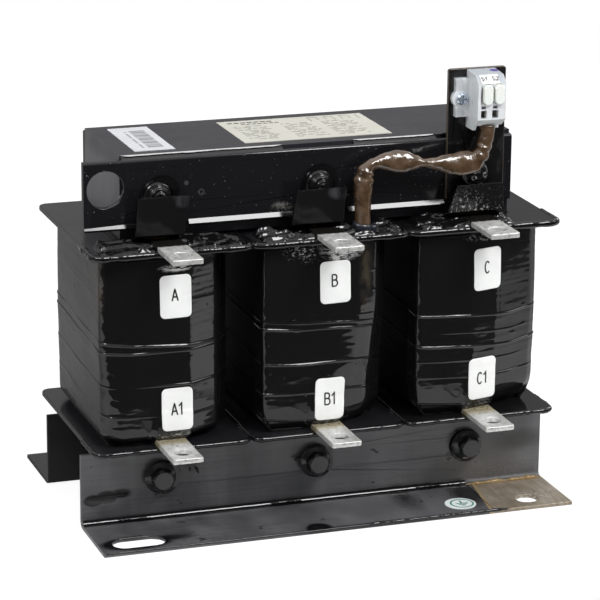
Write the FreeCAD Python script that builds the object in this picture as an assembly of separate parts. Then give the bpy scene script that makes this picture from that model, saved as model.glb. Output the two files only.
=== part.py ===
import FreeCAD, Part
import math
import os

# Detuned filter reactor: a three-phase iron-core choke with air-gapped limbs, foil coils in
# taped wraps, two clamp bars above, two L-shaped feet below, and a two-pole spring terminal
# block for the thermal switch in the middle coil. Millimetres, +Z up, X along the front, the
# front looks towards -Y. The origin is the centre of the fixing pattern, on the floor plane.

# Core
LIMB_WIDTH = 40.0
STACK_DEPTH = 62.0
YOKE_HEIGHT = 40.0
YOKE_BASE = 1.5
BLOCK_HEIGHT = 31.0
BLOCKS_PER_LIMB = 3
GAP_THICKNESS = 2.0

# Coil formers
FORMER_CLEARANCE = 0.5
FORMER_WALL = 2.0
FORMER_HEIGHT = 99.0
FLANGE_WIDTH = 78.0
FLANGE_GAP = 1.0
FLANGE_DEPTH = 106.0
FLANGE_THICKNESS = 2.5
FLANGE_CORNER = 5.0

# Windings and their tape wraps
COIL_WIDTH = 67.0
COIL_DEPTH = 102.0
COIL_CORNER = 17.0
WRAP_THICKNESS = 1.2
FOOT_TAPER = 4.0
FOOT_TAPER_HEIGHT = 9.0
HEAD_TAPER = 2.0
HEAD_TAPER_HEIGHT = 5.0
TAPE_BANDS = 6
TAPE_STEP = 0.35
TAPE_EDGE = 0.4
WINDING_HEAD_MARGIN = 2.0

# Feet
FOOT_LENGTH = 240.0
FOOT_REACH = 42.0
FOOT_HEIGHT = 37.0
FOOT_SHEET = 2.0
FOOT_BEND = 2.0
FIXING_PITCH_X = 200.0
FIXING_PITCH_Y = 128.0
FIXING_HOLE = 11.0
FIXING_SLOT_WIDTH = 13.0
FIXING_SLOT_LENGTH = 26.0
BARE_END_LENGTH = 41.5
COATING_THICKNESS = 0.1

# Clamp bars
CLAMP_HEIGHT = 33.0
CLAMP_THICKNESS = 4.0
CLAMP_ABOVE_YOKE_BASE = 5.5
CLAMP_EAR = 18.5
CLAMP_EDGE = 1.6
LIFTING_HOLE = 18.0
LIFTING_HOLE_FROM_END = 10.6
LIFTING_HOLE_ABOVE_CLAMP_BASE = 19.6

# Core bolts, M8, with insulating sleeves and washers
BOLT_SIZE = 8.0
BOLT_CLEARANCE = 0.1
SLEEVE_WALL = 0.6
SLEEVE_CLEARANCE = 0.1
HEX_ACROSS_FLATS = 13.0
HEAD_HEIGHT = 5.3
HEAD_MARK_SIZE = 1.3
HEAD_MARK_DEPTH = 0.25
NUT_HEIGHT = 6.5
THREAD_PAST_NUT = 3.0
WASHER_SIZE = 16.0
WASHER_THICKNESS = 1.6
PAD_SIZE = 17.0
PAD_THICKNESS = 0.8
LOWER_BOLT_HEIGHT = 22.0
UPPER_BOLT_ABOVE_CLAMP_BASE = 16.5

# Terminal bars
BAR_WIDTH = 15.0
BAR_THICKNESS = 3.0
BAR_BEND = 1.5
BAR_CORNER = 0.8
BAR_REACH = 79.5
BAR_LEG = 20.0
BAR_CLEARANCE = 0.2
TERMINAL_HOLE = 8.4
TERMINAL_HOLE_FROM_TIP = 10.0

# Insulating flaps between the upper bars and the bolt heads
FLAP_WIDTH = 25.0
FLAP_THICKNESS = 0.5
FLAP_HEIGHT = 22.0
FLAP_FOOT_GAP = 2.6
FLAP_CLEARANCE = 0.2

# Terminal plate
PLATE_WIDTH = 30.0
PLATE_THICKNESS = 2.0
PLATE_BELOW_BOLT = 14.0
PLATE_ABOVE_BOLT = 51.0
PLATE_CORNER = 1.5

# Terminal block
BLOCK_WIDTH = 12.9
BLOCK_SIDE_OFFSET = 2.85
BLOCK_DEPTH = 15.0
BLOCK_FACE_HEIGHT = 17.6
BLOCK_CHAMFER_DEPTH = 5.0
BLOCK_CHAMFER_HEIGHT = 3.7
BLOCK_SLOPE_DEPTH = 4.0
BLOCK_SLOPE_HEIGHT = 3.7
BLOCK_CROWN_HEIGHT = 1.0
BLOCK_ABOVE_BOLT = 24.5
END_PLATE_THICKNESS = 1.7
END_PLATE_DROP = 2.3
LUG_LENGTH = 6.6
LUG_HEIGHT = 19.0
LUG_THICKNESS = 3.0
LUG_ABOVE_BLOCK_BASE = 3.3
LUG_SCREW_OFFSET = 3.6
LUG_SCREW_HEIGHT = 12.3
LUG_BOSS = 9.4
SCREW_SIZE = 3.0
SCREW_HEAD = 5.8
SCREW_HEAD_HEIGHT = 2.0
SCREW_SLOT = 0.7
SCREW_SLOT_DEPTH = 1.2
SCREW_CLEARANCE = 0.15
SCREW_NUT_FLATS = 5.5
SCREW_NUT_HEIGHT = 2.4
SCREW_PAST_NUT = 1.2
POLE_PITCH = 6.0
FIRST_POLE = 3.1
BUTTON_WIDTH = 4.9
BUTTON_HEIGHT = 9.9
BUTTON_LENGTH = 6.3
BUTTON_PROUD = 2.0
BUTTON_TRAVEL = 1.5
BUTTON_CLEARANCE = 0.2
BUTTON_BOTTOM = 11.2
BUTTON_CROWN = 0.5
TEST_SLOT_WIDTH = 2.4
TEST_SLOT_HEIGHT = 1.4
TEST_SLOT_DEPTH = 3.0
TEST_SLOT_BOTTOM = 9.2
WIRE_HOLE_WIDTH = 3.2
WIRE_HOLE_HEIGHT = 3.8
WIRE_HOLE_DEPTH = 8.0
WIRE_HOLE_BOTTOM = 4.6
WIRE_HOLE_OFFSET = 1.7
CONTACT_THICKNESS = 0.8
CONTACT_SETBACK = 1.0
TAB_WIDTH = 3.2
TAB_DROP = 2.4
TAB_THICKNESS = 2.6
TAB_SETBACK = 3.7
MARKER_WIDTH = 9.5
MARKER_THICKNESS = 0.4

# Lead sleeve of the thermal switch: its route is a list of chosen points, floor to block
SLEEVE_SIZE = 7.5
SLEEVE_ROUTE = [
    (19.5, -46.5, 140.5),
    (19.5, -46.5, 150.0),
    (20.3, -45.0, 162.0),
    (23.5, -43.5, 172.5),
    (32.0, -42.5, 177.5),
    (42.0, -42.7, 176.5),
    (52.5, -44.0, 173.5),
    (62.0, -46.5, 171.8),
    (71.0, -48.8, 173.0),
    (78.5, -48.0, 177.0),
    (82.0, -45.9, 182.0),
    (82.0, -45.9, 189.0),
]
LEAD_HOLE = 4.0
TIE_WIDTH = 4.5
TIE_THICKNESS = 1.2
TIE_LIFT = 1.2
TIE_CLEARANCE = 0.2
TIE_HEAD = 5.5
TIE_HEAD_HEIGHT = 5.5
SWITCH_WIDTH = 8.0
SWITCH_DEPTH = 5.0
SWITCH_SETBACK = 2.5
SWITCH_HEIGHT = 14.0

# Stickers
MARK_WIDTH = 15.3
MARK_HEIGHT = 21.0
MARK_CORNER = 2.6
STICKER_THICKNESS = 0.25
UPPER_MARK_BELOW_FLANGE = 9.6
LOWER_MARK_ABOVE_FLANGE = 7.6
UPPER_MARK_SIDE = [2.8, 4.1, 4.7]
LOWER_MARK_SIDE = [3.2, 2.4, 3.6]
RATING_WIDTH = 75.0
RATING_DEPTH = 46.0
RATING_SIDE = 3.2
CODE_WIDTH = 20.0
CODE_DEPTH = 49.0
CODE_SIDE = -79.6
EARTH_STICKER = 15.5
EARTH_STICKER_SIDE = 65.4
EARTH_STICKER_FROM_EDGE = 13.0

# Levels and faces that follow from the sizes above
LIMB_PITCH = FLANGE_WIDTH + FLANGE_GAP
LIMB_HEIGHT = BLOCKS_PER_LIMB * BLOCK_HEIGHT + (BLOCKS_PER_LIMB + 1) * GAP_THICKNESS
YOKE_LENGTH = 2 * LIMB_PITCH + LIMB_WIDTH
CORE_FACE = STACK_DEPTH / 2
LIMB_BASE = YOKE_BASE + YOKE_HEIGHT
UPPER_YOKE_BASE = LIMB_BASE + LIMB_HEIGHT
CORE_TOP = UPPER_YOKE_BASE + YOKE_HEIGHT
LOWER_FLANGE_TOP = LIMB_BASE + FLANGE_THICKNESS
FORMER_TOP = LIMB_BASE + FORMER_HEIGHT
UPPER_FLANGE_BASE = FORMER_TOP - FLANGE_THICKNESS
TUBE_HALF_WIDTH = LIMB_WIDTH / 2 + FORMER_CLEARANCE + FORMER_WALL
TUBE_HALF_DEPTH = STACK_DEPTH / 2 + FORMER_CLEARANCE + FORMER_WALL
WINDING_FACE = COIL_DEPTH / 2 - WRAP_THICKNESS
WINDING_BASE = LOWER_FLANGE_TOP + BAR_THICKNESS
WINDING_TOP = UPPER_FLANGE_BASE - WINDING_HEAD_MARGIN
CLAMP_BASE = UPPER_YOKE_BASE + CLAMP_ABOVE_YOKE_BASE
CLAMP_FACE = CORE_FACE + CLAMP_THICKNESS
FOOT_FACE = CORE_FACE + FOOT_SHEET
UPPER_BOLT_HEIGHT = CLAMP_BASE + UPPER_BOLT_ABOVE_CLAMP_BASE
PLATE_FACE = CLAMP_FACE + PLATE_THICKNESS
CORE_HOLE = BOLT_SIZE + 2 * (BOLT_CLEARANCE + SLEEVE_WALL + SLEEVE_CLEARANCE)
LIMB_PLACES = [-LIMB_PITCH, 0.0, LIMB_PITCH]
PLATE_PLACE = LIMB_PITCH
BLOCK_LEFT = PLATE_PLACE - PLATE_WIDTH / 2 + BLOCK_SIDE_OFFSET + LUG_LENGTH + END_PLATE_THICKNESS
BLOCK_BASE = UPPER_BOLT_HEIGHT + BLOCK_ABOVE_BOLT
BLOCK_FACE = PLATE_FACE + BLOCK_DEPTH

# Places used by more than one piece
NAMES = ["a", "b", "c"]
HEAD_STACK = PAD_THICKNESS + WASHER_THICKNESS + HEAD_HEIGHT


def vec(x, y, z):
    """Shorthand for a point or direction."""
    return FreeCAD.Vector(x, y, z)


def box(low, high):
    """Box between its lowest and highest corners."""
    size = [b - a for a, b in zip(low, high)]
    return Part.makeBox(size[0], size[1], size[2], vec(*low))


def rod(start, direction, diameter, length):
    """Round bar from a point along a direction."""
    return Part.makeCylinder(diameter / 2, length, vec(*start), vec(*direction))


def tube(start, direction, outer, inner, length):
    """Round tube from a point along a direction."""
    return rod(start, direction, outer, length).cut(rod(start, direction, inner, length))


def hexagon(centre, flats, height):
    """Hexagonal prism whose axis runs along +Y from its centre point, with a flat on top."""
    radius = flats / math.sqrt(3)
    points = []
    for n in range(7):
        angle = math.radians(60 * n)
        points.append(vec(*centre) + vec(radius * math.cos(angle), 0, radius * math.sin(angle)))
    return Part.Face(Part.makePolygon(points)).extrude(vec(0, height, 0))


def side_profile(points, start, width):
    """Solid with its outline given as (y, z) points, extruded along X from start."""
    corners = [vec(start, y, z) for y, z in points]
    face = Part.Face(Part.makePolygon(corners + corners[:1]))
    return face.extrude(vec(width, 0, 0))


def edges_along(shape, axis, test=lambda edge: True):
    """Straight edges of a shape that run along X, Y or Z and pass a test."""
    found = []
    for edge in shape.Edges:
        if not isinstance(edge.Curve, Part.Line):
            continue
        run = edge.Vertexes[1].Point - edge.Vertexes[0].Point
        if abs(getattr(run.normalize(), axis)) > 0.999 and test(edge):
            found.append(edge)
    return found


def on_line(edge, point):
    """Whether an edge that runs along X lies on the line through a point."""
    start = edge.Vertexes[0].Point
    return abs(start.y - point.y) < 0.01 and abs(start.z - point.z) < 0.01


def round_edges(shape, radius, axis, test=lambda edge: True):
    """Fillet the edges that run along one axis and pass a test."""
    return shape.makeFillet(radius, edges_along(shape, axis, test))


def outline(half_x, half_y, corner, height, place):
    """Closed wire of a rectangle with round corners, level, centred on a limb."""
    turn = math.sqrt(0.5) * corner
    parts = []
    signs = [(1, 1), (-1, 1), (-1, -1), (1, -1)]
    for n, (sx, sy) in enumerate(signs):
        centre = vec(place + sx * (half_x - corner), sy * (half_y - corner), height)
        first = vec(0, sy * corner, 0) if sx * sy < 0 else vec(sx * corner, 0, 0)
        last = vec(sx * corner, 0, 0) if sx * sy < 0 else vec(0, sy * corner, 0)
        middle = vec(sx * turn, sy * turn, 0)
        parts.append(Part.Arc(centre + first, centre + middle, centre + last).toShape())
    edges = []
    for n, arc in enumerate(parts):
        following = parts[(n + 1) % len(parts)]
        edges.append(arc)
        edges.append(Part.makeLine(arc.Vertexes[-1].Point, following.Vertexes[0].Point))
    return Part.Wire(edges)


def coil_section(height, inset, place):
    """Outline of the taped coil at one height, drawn in towards both flanges."""
    above = height - LOWER_FLANGE_TOP
    below = UPPER_FLANGE_BASE - height
    taper = FOOT_TAPER * max(0.0, 1 - above / FOOT_TAPER_HEIGHT) ** 2
    taper += HEAD_TAPER * max(0.0, 1 - below / HEAD_TAPER_HEIGHT)
    shrink = taper + inset
    return outline(COIL_WIDTH / 2 - shrink, COIL_DEPTH / 2 - shrink, COIL_CORNER - shrink, height, place)


def coil_form(heights, insets, place):
    """Solid through coil sections at a list of heights."""
    wires = [coil_section(z, inset, place) for z, inset in zip(heights, insets)]
    return Part.makeLoft(wires, True, True)


def taper_heights():
    """Heights where the coil changes its section."""
    foot = [LOWER_FLANGE_TOP + FOOT_TAPER_HEIGHT * share for share in (0.0, 0.3, 0.6, 1.0)]
    head = [UPPER_FLANGE_BASE - HEAD_TAPER_HEIGHT, UPPER_FLANGE_BASE]
    return foot + head


def inside_wrap(place):
    """Solid that fills the coil up to the inner face of its tape wrap."""
    heights = taper_heights()
    return coil_form(heights, [WRAP_THICKNESS] * len(heights), place)


def yoke(base, bolt_height):
    """Laminated yoke with its three insulated bolt holes."""
    body = box((-YOKE_LENGTH / 2, -CORE_FACE, base), (YOKE_LENGTH / 2, CORE_FACE, base + YOKE_HEIGHT))
    for place in LIMB_PLACES:
        body = body.cut(rod((place, -CORE_FACE, bolt_height), (0, 1, 0), CORE_HOLE, STACK_DEPTH))
    return body


def limb(place):
    """Separate core blocks of one limb."""
    blocks = []
    for n in range(BLOCKS_PER_LIMB):
        base = LIMB_BASE + GAP_THICKNESS + n * (BLOCK_HEIGHT + GAP_THICKNESS)
        low = (place - LIMB_WIDTH / 2, -CORE_FACE, base)
        blocks.append(box(low, (place + LIMB_WIDTH / 2, CORE_FACE, base + BLOCK_HEIGHT)))
    return Part.makeCompound(blocks)


def gap_spacers():
    """Air-gap plates below, between and above the blocks of every limb."""
    plates = []
    for place in LIMB_PLACES:
        for n in range(BLOCKS_PER_LIMB + 1):
            base = LIMB_BASE + n * (BLOCK_HEIGHT + GAP_THICKNESS)
            low = (place - LIMB_WIDTH / 2, -CORE_FACE, base)
            plates.append(box(low, (place + LIMB_WIDTH / 2, CORE_FACE, base + GAP_THICKNESS)))
    return Part.makeCompound(plates)


def upper_bar_leg(place, gap):
    """Space of an upper bar's leg beside the former tube, widened by a gap."""
    back = -(TUBE_HALF_DEPTH + BAR_CLEARANCE)
    low = (place - BAR_WIDTH / 2 - gap, back - BAR_THICKNESS - gap, FORMER_TOP - BAR_LEG)
    return box(low, (place + BAR_WIDTH / 2 + gap, back + gap, FORMER_TOP + gap))


def former(place, lead_hole):
    """Coil former: a tube round the limb with a flange at each end."""
    inner_x = LIMB_WIDTH / 2 + FORMER_CLEARANCE
    inner_y = STACK_DEPTH / 2 + FORMER_CLEARANCE
    body = box((place - TUBE_HALF_WIDTH, -TUBE_HALF_DEPTH, LIMB_BASE),
               (place + TUBE_HALF_WIDTH, TUBE_HALF_DEPTH, FORMER_TOP))
    for base in (LIMB_BASE, UPPER_FLANGE_BASE):
        flange = box((place - FLANGE_WIDTH / 2, -FLANGE_DEPTH / 2, base),
                     (place + FLANGE_WIDTH / 2, FLANGE_DEPTH / 2, base + FLANGE_THICKNESS))
        body = body.fuse(round_edges(flange, FLANGE_CORNER, "z"))
    bore = box((place - inner_x, -inner_y, LIMB_BASE), (place + inner_x, inner_y, FORMER_TOP))
    body = body.cut(bore).cut(upper_bar_leg(place, BAR_CLEARANCE))
    if lead_hole:
        x, y, z = SLEEVE_ROUTE[0]
        body = body.cut(rod((x, y, UPPER_FLANGE_BASE), (0, 0, 1), LEAD_HOLE, FLANGE_THICKNESS))
    return body.removeSplitter()


def upper_bar(place):
    """Upper terminal: lies on the flange and turns down beside the former tube."""
    back = -(TUBE_HALF_DEPTH + BAR_CLEARANCE)
    top = FORMER_TOP + BAR_THICKNESS
    points = [(-BAR_REACH, FORMER_TOP), (-BAR_REACH, top), (back, top), (back, FORMER_TOP - BAR_LEG),
              (back - BAR_THICKNESS, FORMER_TOP - BAR_LEG), (back - BAR_THICKNESS, FORMER_TOP)]
    bar = side_profile(points, place - BAR_WIDTH / 2, BAR_WIDTH)
    outer = lambda edge: edge.Vertexes[0].Point.y > back - 0.01 and edge.Vertexes[0].Point.z > top - 0.01
    bar = round_edges(bar, BAR_BEND + BAR_THICKNESS / 2, "x", outer)
    return drilled_bar(bar, place, FORMER_TOP)


def lower_bar(place):
    """Lower terminal: lies on the flange and turns up in the outer turn of the winding."""
    face = -WINDING_FACE
    top = WINDING_BASE
    points = [(-BAR_REACH, LOWER_FLANGE_TOP), (-BAR_REACH, top), (face, top), (face, top + BAR_LEG),
              (face + BAR_THICKNESS, top + BAR_LEG), (face + BAR_THICKNESS, LOWER_FLANGE_TOP)]
    bar = side_profile(points, place - BAR_WIDTH / 2, BAR_WIDTH)
    return drilled_bar(bar, place, LOWER_FLANGE_TOP)


def drilled_bar(bar, place, base):
    """Terminal hole and softened tip corners."""
    tip = lambda edge: edge.Vertexes[0].Point.y < -BAR_REACH + 0.01
    bar = round_edges(bar, BAR_CORNER, "z", tip)
    hole = rod((place, TERMINAL_HOLE_FROM_TIP - BAR_REACH, base), (0, 0, 1), TERMINAL_HOLE, BAR_THICKNESS)
    return bar.cut(hole)


def winding(place, with_switch):
    """Foil winding: a thick ring on the former tube, with pockets for its two bars."""
    body = inside_wrap(place)
    body = body.common(box((place - COIL_WIDTH / 2, -COIL_DEPTH / 2, WINDING_BASE),
                           (place + COIL_WIDTH / 2, COIL_DEPTH / 2, WINDING_TOP)))
    body = body.cut(box((place - TUBE_HALF_WIDTH, -TUBE_HALF_DEPTH, WINDING_BASE),
                        (place + TUBE_HALF_WIDTH, TUBE_HALF_DEPTH, WINDING_TOP)))
    body = body.cut(upper_bar_leg(place, 0.0))
    low = (place - BAR_WIDTH / 2, -WINDING_FACE, WINDING_BASE)
    body = body.cut(box(low, (place + BAR_WIDTH / 2, BAR_THICKNESS - WINDING_FACE, WINDING_BASE + BAR_LEG)))
    if with_switch:
        body = body.cut(thermal_switch())
    return body


def tape_wrap(place):
    """Tape wrap: overlapping turns over the winding, closed down to both flanges."""
    band = (UPPER_FLANGE_BASE - HEAD_TAPER_HEIGHT - LOWER_FLANGE_TOP - FOOT_TAPER_HEIGHT) / TAPE_BANDS
    heights = taper_heights()[:3]
    insets = [0.0] * len(heights)
    for n in range(TAPE_BANDS):
        start = LOWER_FLANGE_TOP + FOOT_TAPER_HEIGHT + n * band
        heights += [start, start + band - TAPE_EDGE]
        insets += [0.0, TAPE_STEP]
    heights += taper_heights()[-2:]
    insets += [0.0, 0.0]
    body = coil_form(heights, insets, place)
    half = BAR_WIDTH / 2 + WRAP_THICKNESS
    bulge = box((place - half, -COIL_DEPTH / 2, WINDING_BASE),
                (place + half, BAR_THICKNESS - WINDING_FACE, LOWER_FLANGE_TOP + FOOT_TAPER_HEIGHT))
    body = body.fuse(bulge).cut(inside_wrap(place))
    half = BAR_WIDTH / 2 + BAR_CLEARANCE
    notch = box((place - half, -COIL_DEPTH / 2, LOWER_FLANGE_TOP),
                (place + half, 0.0, WINDING_BASE + BAR_CLEARANCE))
    leg = box((place - BAR_WIDTH / 2, -WINDING_FACE, WINDING_BASE),
              (place + BAR_WIDTH / 2, 0.0, WINDING_BASE + BAR_LEG))
    return body.cut(notch).cut(leg).removeSplitter()


def foot_bracket(bare_end):
    """Front foot: bent sheet with bolt holes, a fixing slot and a fixing hole, its end bare or not."""
    points = [(-CORE_FACE, 0.0), (-CORE_FACE, FOOT_HEIGHT), (-FOOT_FACE, FOOT_HEIGHT)]
    points += [(-FOOT_FACE, FOOT_SHEET), (-FOOT_FACE - FOOT_REACH, FOOT_SHEET), (-FOOT_FACE - FOOT_REACH, 0.0)]
    body = side_profile(points, -FOOT_LENGTH / 2, FOOT_LENGTH)
    inner_bend = vec(0, -FOOT_FACE, FOOT_SHEET)
    outer_bend = vec(0, -CORE_FACE, 0.0)
    body = round_edges(body, FOOT_BEND, "x", lambda edge: on_line(edge, inner_bend))
    body = round_edges(body, FOOT_BEND + FOOT_SHEET, "x", lambda edge: on_line(edge, outer_bend))
    for place in LIMB_PLACES:
        body = body.cut(rod((place, -FOOT_FACE, LOWER_BOLT_HEIGHT), (0, 1, 0), CORE_HOLE, FOOT_SHEET))
    row = -FIXING_PITCH_Y / 2
    body = body.cut(rod((FIXING_PITCH_X / 2, row, 0.0), (0, 0, 1), FIXING_HOLE, FOOT_SHEET))
    run = FIXING_SLOT_LENGTH - FIXING_SLOT_WIDTH
    slot = box((-FIXING_PITCH_X / 2 - run / 2, row - FIXING_SLOT_WIDTH / 2, 0.0),
               (-FIXING_PITCH_X / 2 + run / 2, row + FIXING_SLOT_WIDTH / 2, FOOT_SHEET))
    for end in (-run / 2, run / 2):
        centre = (end - FIXING_PITCH_X / 2, row, 0.0)
        slot = slot.fuse(rod(centre, (0, 0, 1), FIXING_SLOT_WIDTH, FOOT_SHEET))
    body = body.cut(slot)
    if bare_end:
        low = (FOOT_LENGTH / 2 - BARE_END_LENGTH, -FOOT_FACE - FOOT_REACH, FOOT_SHEET - COATING_THICKNESS)
        body = body.cut(box(low, (FOOT_LENGTH / 2, -FOOT_FACE - FOOT_BEND, FOOT_SHEET)))
    return body


def clamp_bar():
    """Front clamp bar: flat bar with rounded long edges and one end past the yoke for lifting."""
    left = -YOKE_LENGTH / 2 - CLAMP_EAR
    body = box((left, -CLAMP_FACE, CLAMP_BASE), (YOKE_LENGTH / 2, -CORE_FACE, CLAMP_BASE + CLAMP_HEIGHT))
    body = round_edges(body, CLAMP_EDGE, "x", lambda edge: edge.Vertexes[0].Point.y < -CLAMP_FACE + 0.01)
    for place in LIMB_PLACES:
        body = body.cut(rod((place, -CLAMP_FACE, UPPER_BOLT_HEIGHT), (0, 1, 0), CORE_HOLE, CLAMP_THICKNESS))
    hole = (left + LIFTING_HOLE_FROM_END, -CLAMP_FACE, CLAMP_BASE + LIFTING_HOLE_ABOVE_CLAMP_BASE)
    return body.cut(rod(hole, (0, 1, 0), LIFTING_HOLE, CLAMP_THICKNESS))


def turned(shape):
    """The same piece on the other side of the core, turned half round about Z."""
    copy = shape.copy()
    copy.rotate(vec(0, 0, 0), vec(0, 0, 1), 180)
    return copy


def bolt_rows():
    """Height, front seat and rear seat of every core bolt, with its place along X."""
    rows = []
    for place in LIMB_PLACES:
        rows.append((place, LOWER_BOLT_HEIGHT, FOOT_FACE, FOOT_FACE))
        front = PLATE_FACE if place == PLATE_PLACE else CLAMP_FACE
        rows.append((place, UPPER_BOLT_HEIGHT, front, CLAMP_FACE))
    return rows


def core_bolts(upper):
    """Hexagon bolts of one yoke, heads to the front, with three marks on each head."""
    bolts = []
    stack = PAD_THICKNESS + WASHER_THICKNESS
    for place, height, front, rear in bolt_rows():
        if (height == UPPER_BOLT_HEIGHT) != upper:
            continue
        seat = -(front + stack)
        length = rear + stack + NUT_HEIGHT + THREAD_PAST_NUT - seat
        bolt = hexagon((place, seat - HEAD_HEIGHT, height), HEX_ACROSS_FLATS, HEAD_HEIGHT)
        cone = Part.makeCone(HEX_ACROSS_FLATS / 2 - 0.3, HEX_ACROSS_FLATS, HEAD_HEIGHT * 1.6,
                             vec(place, seat - HEAD_HEIGHT, height), vec(0, 1, 0))
        bolt = bolt.common(cone)
        bolt = bolt.fuse(rod((place, seat, height), (0, 1, 0), BOLT_SIZE, length))
        for n in range(3):
            angle = math.radians(90 + 120 * n)
            mark = (place + 3.6 * math.cos(angle), seat - HEAD_HEIGHT, height + 3.6 * math.sin(angle))
            bolt = bolt.cut(rod(mark, (0, 1, 0), HEAD_MARK_SIZE, HEAD_MARK_DEPTH))
        bolts.append(bolt)
    return Part.makeCompound(bolts)


def core_nuts():
    """Nuts behind the rear clamp bar and the rear foot."""
    nuts = []
    for place, height, front, rear in bolt_rows():
        seat = rear + PAD_THICKNESS + WASHER_THICKNESS
        nut = hexagon((place, seat, height), HEX_ACROSS_FLATS, NUT_HEIGHT)
        nuts.append(nut.cut(rod((place, seat, height), (0, 1, 0), BOLT_SIZE, NUT_HEIGHT)))
    return Part.makeCompound(nuts)


def rings(outer, inner, thickness, lift):
    """Washers of one kind at both ends of every bolt, lifted off the clamped face."""
    found = []
    for place, height, front, rear in bolt_rows():
        for start in (-(front + lift + thickness), rear + lift):
            found.append(tube((place, start, height), (0, 1, 0), outer, inner, thickness))
    return Part.makeCompound(found)


def bolt_sleeves():
    """Insulating tubes round the bolt shanks, from face to face."""
    sleeves = []
    inner = BOLT_SIZE + 2 * BOLT_CLEARANCE
    outer = inner + 2 * SLEEVE_WALL
    for place, height, front, rear in bolt_rows():
        start = -(front if front != PLATE_FACE else CLAMP_FACE)
        sleeves.append(tube((place, start, height), (0, 1, 0), outer, inner, rear - start))
    return Part.makeCompound(sleeves)


def flap(place, head_face):
    """Insulating board: stands on the upper bar and leans against its bolt head."""
    foot = -(CLAMP_FACE + FLAP_FOOT_GAP)
    base = FORMER_TOP + BAR_THICKNESS
    head_bottom = UPPER_BOLT_HEIGHT - HEX_ACROSS_FLATS / 2
    lean = (-(head_face + FLAP_CLEARANCE) - foot) / (head_bottom - base)
    top = (foot + lean * FLAP_HEIGHT, base + FLAP_HEIGHT)
    points = [(foot, base), top, (top[0] - FLAP_THICKNESS, top[1]), (foot - FLAP_THICKNESS, base)]
    return side_profile(points, place - FLAP_WIDTH / 2, FLAP_WIDTH)


def terminal_plate():
    """Steel strip held by the third upper bolt, carrying the terminal block."""
    body = box((PLATE_PLACE - PLATE_WIDTH / 2, -PLATE_FACE, UPPER_BOLT_HEIGHT - PLATE_BELOW_BOLT),
               (PLATE_PLACE + PLATE_WIDTH / 2, -CLAMP_FACE, UPPER_BOLT_HEIGHT + PLATE_ABOVE_BOLT))
    body = round_edges(body, PLATE_CORNER, "y")
    hole = BOLT_SIZE + 2 * BOLT_CLEARANCE
    body = body.cut(rod((PLATE_PLACE, -PLATE_FACE, UPPER_BOLT_HEIGHT), (0, 1, 0), hole, PLATE_THICKNESS))
    x, y, z = screw_place()
    return body.cut(rod((x, -PLATE_FACE, z), (0, 1, 0), SCREW_SIZE + 2 * SCREW_CLEARANCE, PLATE_THICKNESS))


def screw_place():
    """Where the block's screw meets the plate."""
    x = BLOCK_LEFT - END_PLATE_THICKNESS - LUG_SCREW_OFFSET
    return x, -PLATE_FACE, BLOCK_BASE + LUG_SCREW_HEIGHT


def block_outline(drop):
    """Side view of the terminal block as (y, z) points, with its base lowered by drop."""
    back = -PLATE_FACE
    face = -BLOCK_FACE
    low = BLOCK_BASE + BLOCK_CHAMFER_HEIGHT
    high = low + BLOCK_FACE_HEIGHT
    crown = high + BLOCK_SLOPE_HEIGHT
    points = [(back, BLOCK_BASE - drop), (face + BLOCK_CHAMFER_DEPTH + drop / 2, BLOCK_BASE - drop)]
    if drop:
        points.append((face + BLOCK_CHAMFER_DEPTH, BLOCK_BASE))
    points += [(face, low), (face, high)]
    points += [(face + BLOCK_SLOPE_DEPTH, crown), (back, crown + BLOCK_CROWN_HEIGHT)]
    return points


def pole_places():
    """Centre of each pole along X."""
    return [BLOCK_LEFT + FIRST_POLE + n * POLE_PITCH for n in range(2)]


def button(place, gap, travel):
    """Release button, or its pocket when a gap and its travel are given."""
    width = BUTTON_WIDTH + 2 * gap
    height = BUTTON_HEIGHT + 2 * gap
    front = -BLOCK_FACE - (0.0 if travel else BUTTON_PROUD)
    back = -BLOCK_FACE - BUTTON_PROUD + BUTTON_LENGTH + travel
    base = BLOCK_BASE + BUTTON_BOTTOM - gap
    body = box((place - width / 2, front, base), (place + width / 2, back, base + height))
    return round_edges(body, width / 2 - 0.01, "y")


def release_button(place):
    """Release button with a softened face."""
    body = button(place, 0.0, 0.0)
    face = -BLOCK_FACE - BUTTON_PROUD
    rim = [edge for edge in body.Edges if all(v.Point.y < face + 0.01 for v in edge.Vertexes)]
    return body.makeChamfer(BUTTON_CROWN, rim)


def wire_hole(place):
    """Square wire opening of one pole."""
    x = place - WIRE_HOLE_OFFSET
    base = BLOCK_BASE + WIRE_HOLE_BOTTOM
    low = (x - WIRE_HOLE_WIDTH / 2, -BLOCK_FACE, base)
    return box(low, (x + WIRE_HOLE_WIDTH / 2, -BLOCK_FACE + WIRE_HOLE_DEPTH, base + WIRE_HOLE_HEIGHT))


def block_housing():
    """Terminal block housing with button pockets, test slots, wire openings and a rear tab."""
    body = side_profile(block_outline(0.0), BLOCK_LEFT, BLOCK_WIDTH)
    for place in pole_places():
        body = body.cut(button(place, BUTTON_CLEARANCE, BUTTON_TRAVEL + BUTTON_CLEARANCE))
        body = body.cut(wire_hole(place))
        x = place - WIRE_HOLE_OFFSET
        base = BLOCK_BASE + TEST_SLOT_BOTTOM
        low = (x - TEST_SLOT_WIDTH / 2, -BLOCK_FACE, base)
        high = (x + TEST_SLOT_WIDTH / 2, TEST_SLOT_DEPTH - BLOCK_FACE, base + TEST_SLOT_HEIGHT)
        body = body.cut(box(low, high))
    right = BLOCK_LEFT + BLOCK_WIDTH
    back = -PLATE_FACE - TAB_SETBACK
    tab = box((right - TAB_WIDTH, back - TAB_THICKNESS, BLOCK_BASE - TAB_DROP), (right, back, BLOCK_BASE))
    return body.fuse(tab).removeSplitter()


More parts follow.
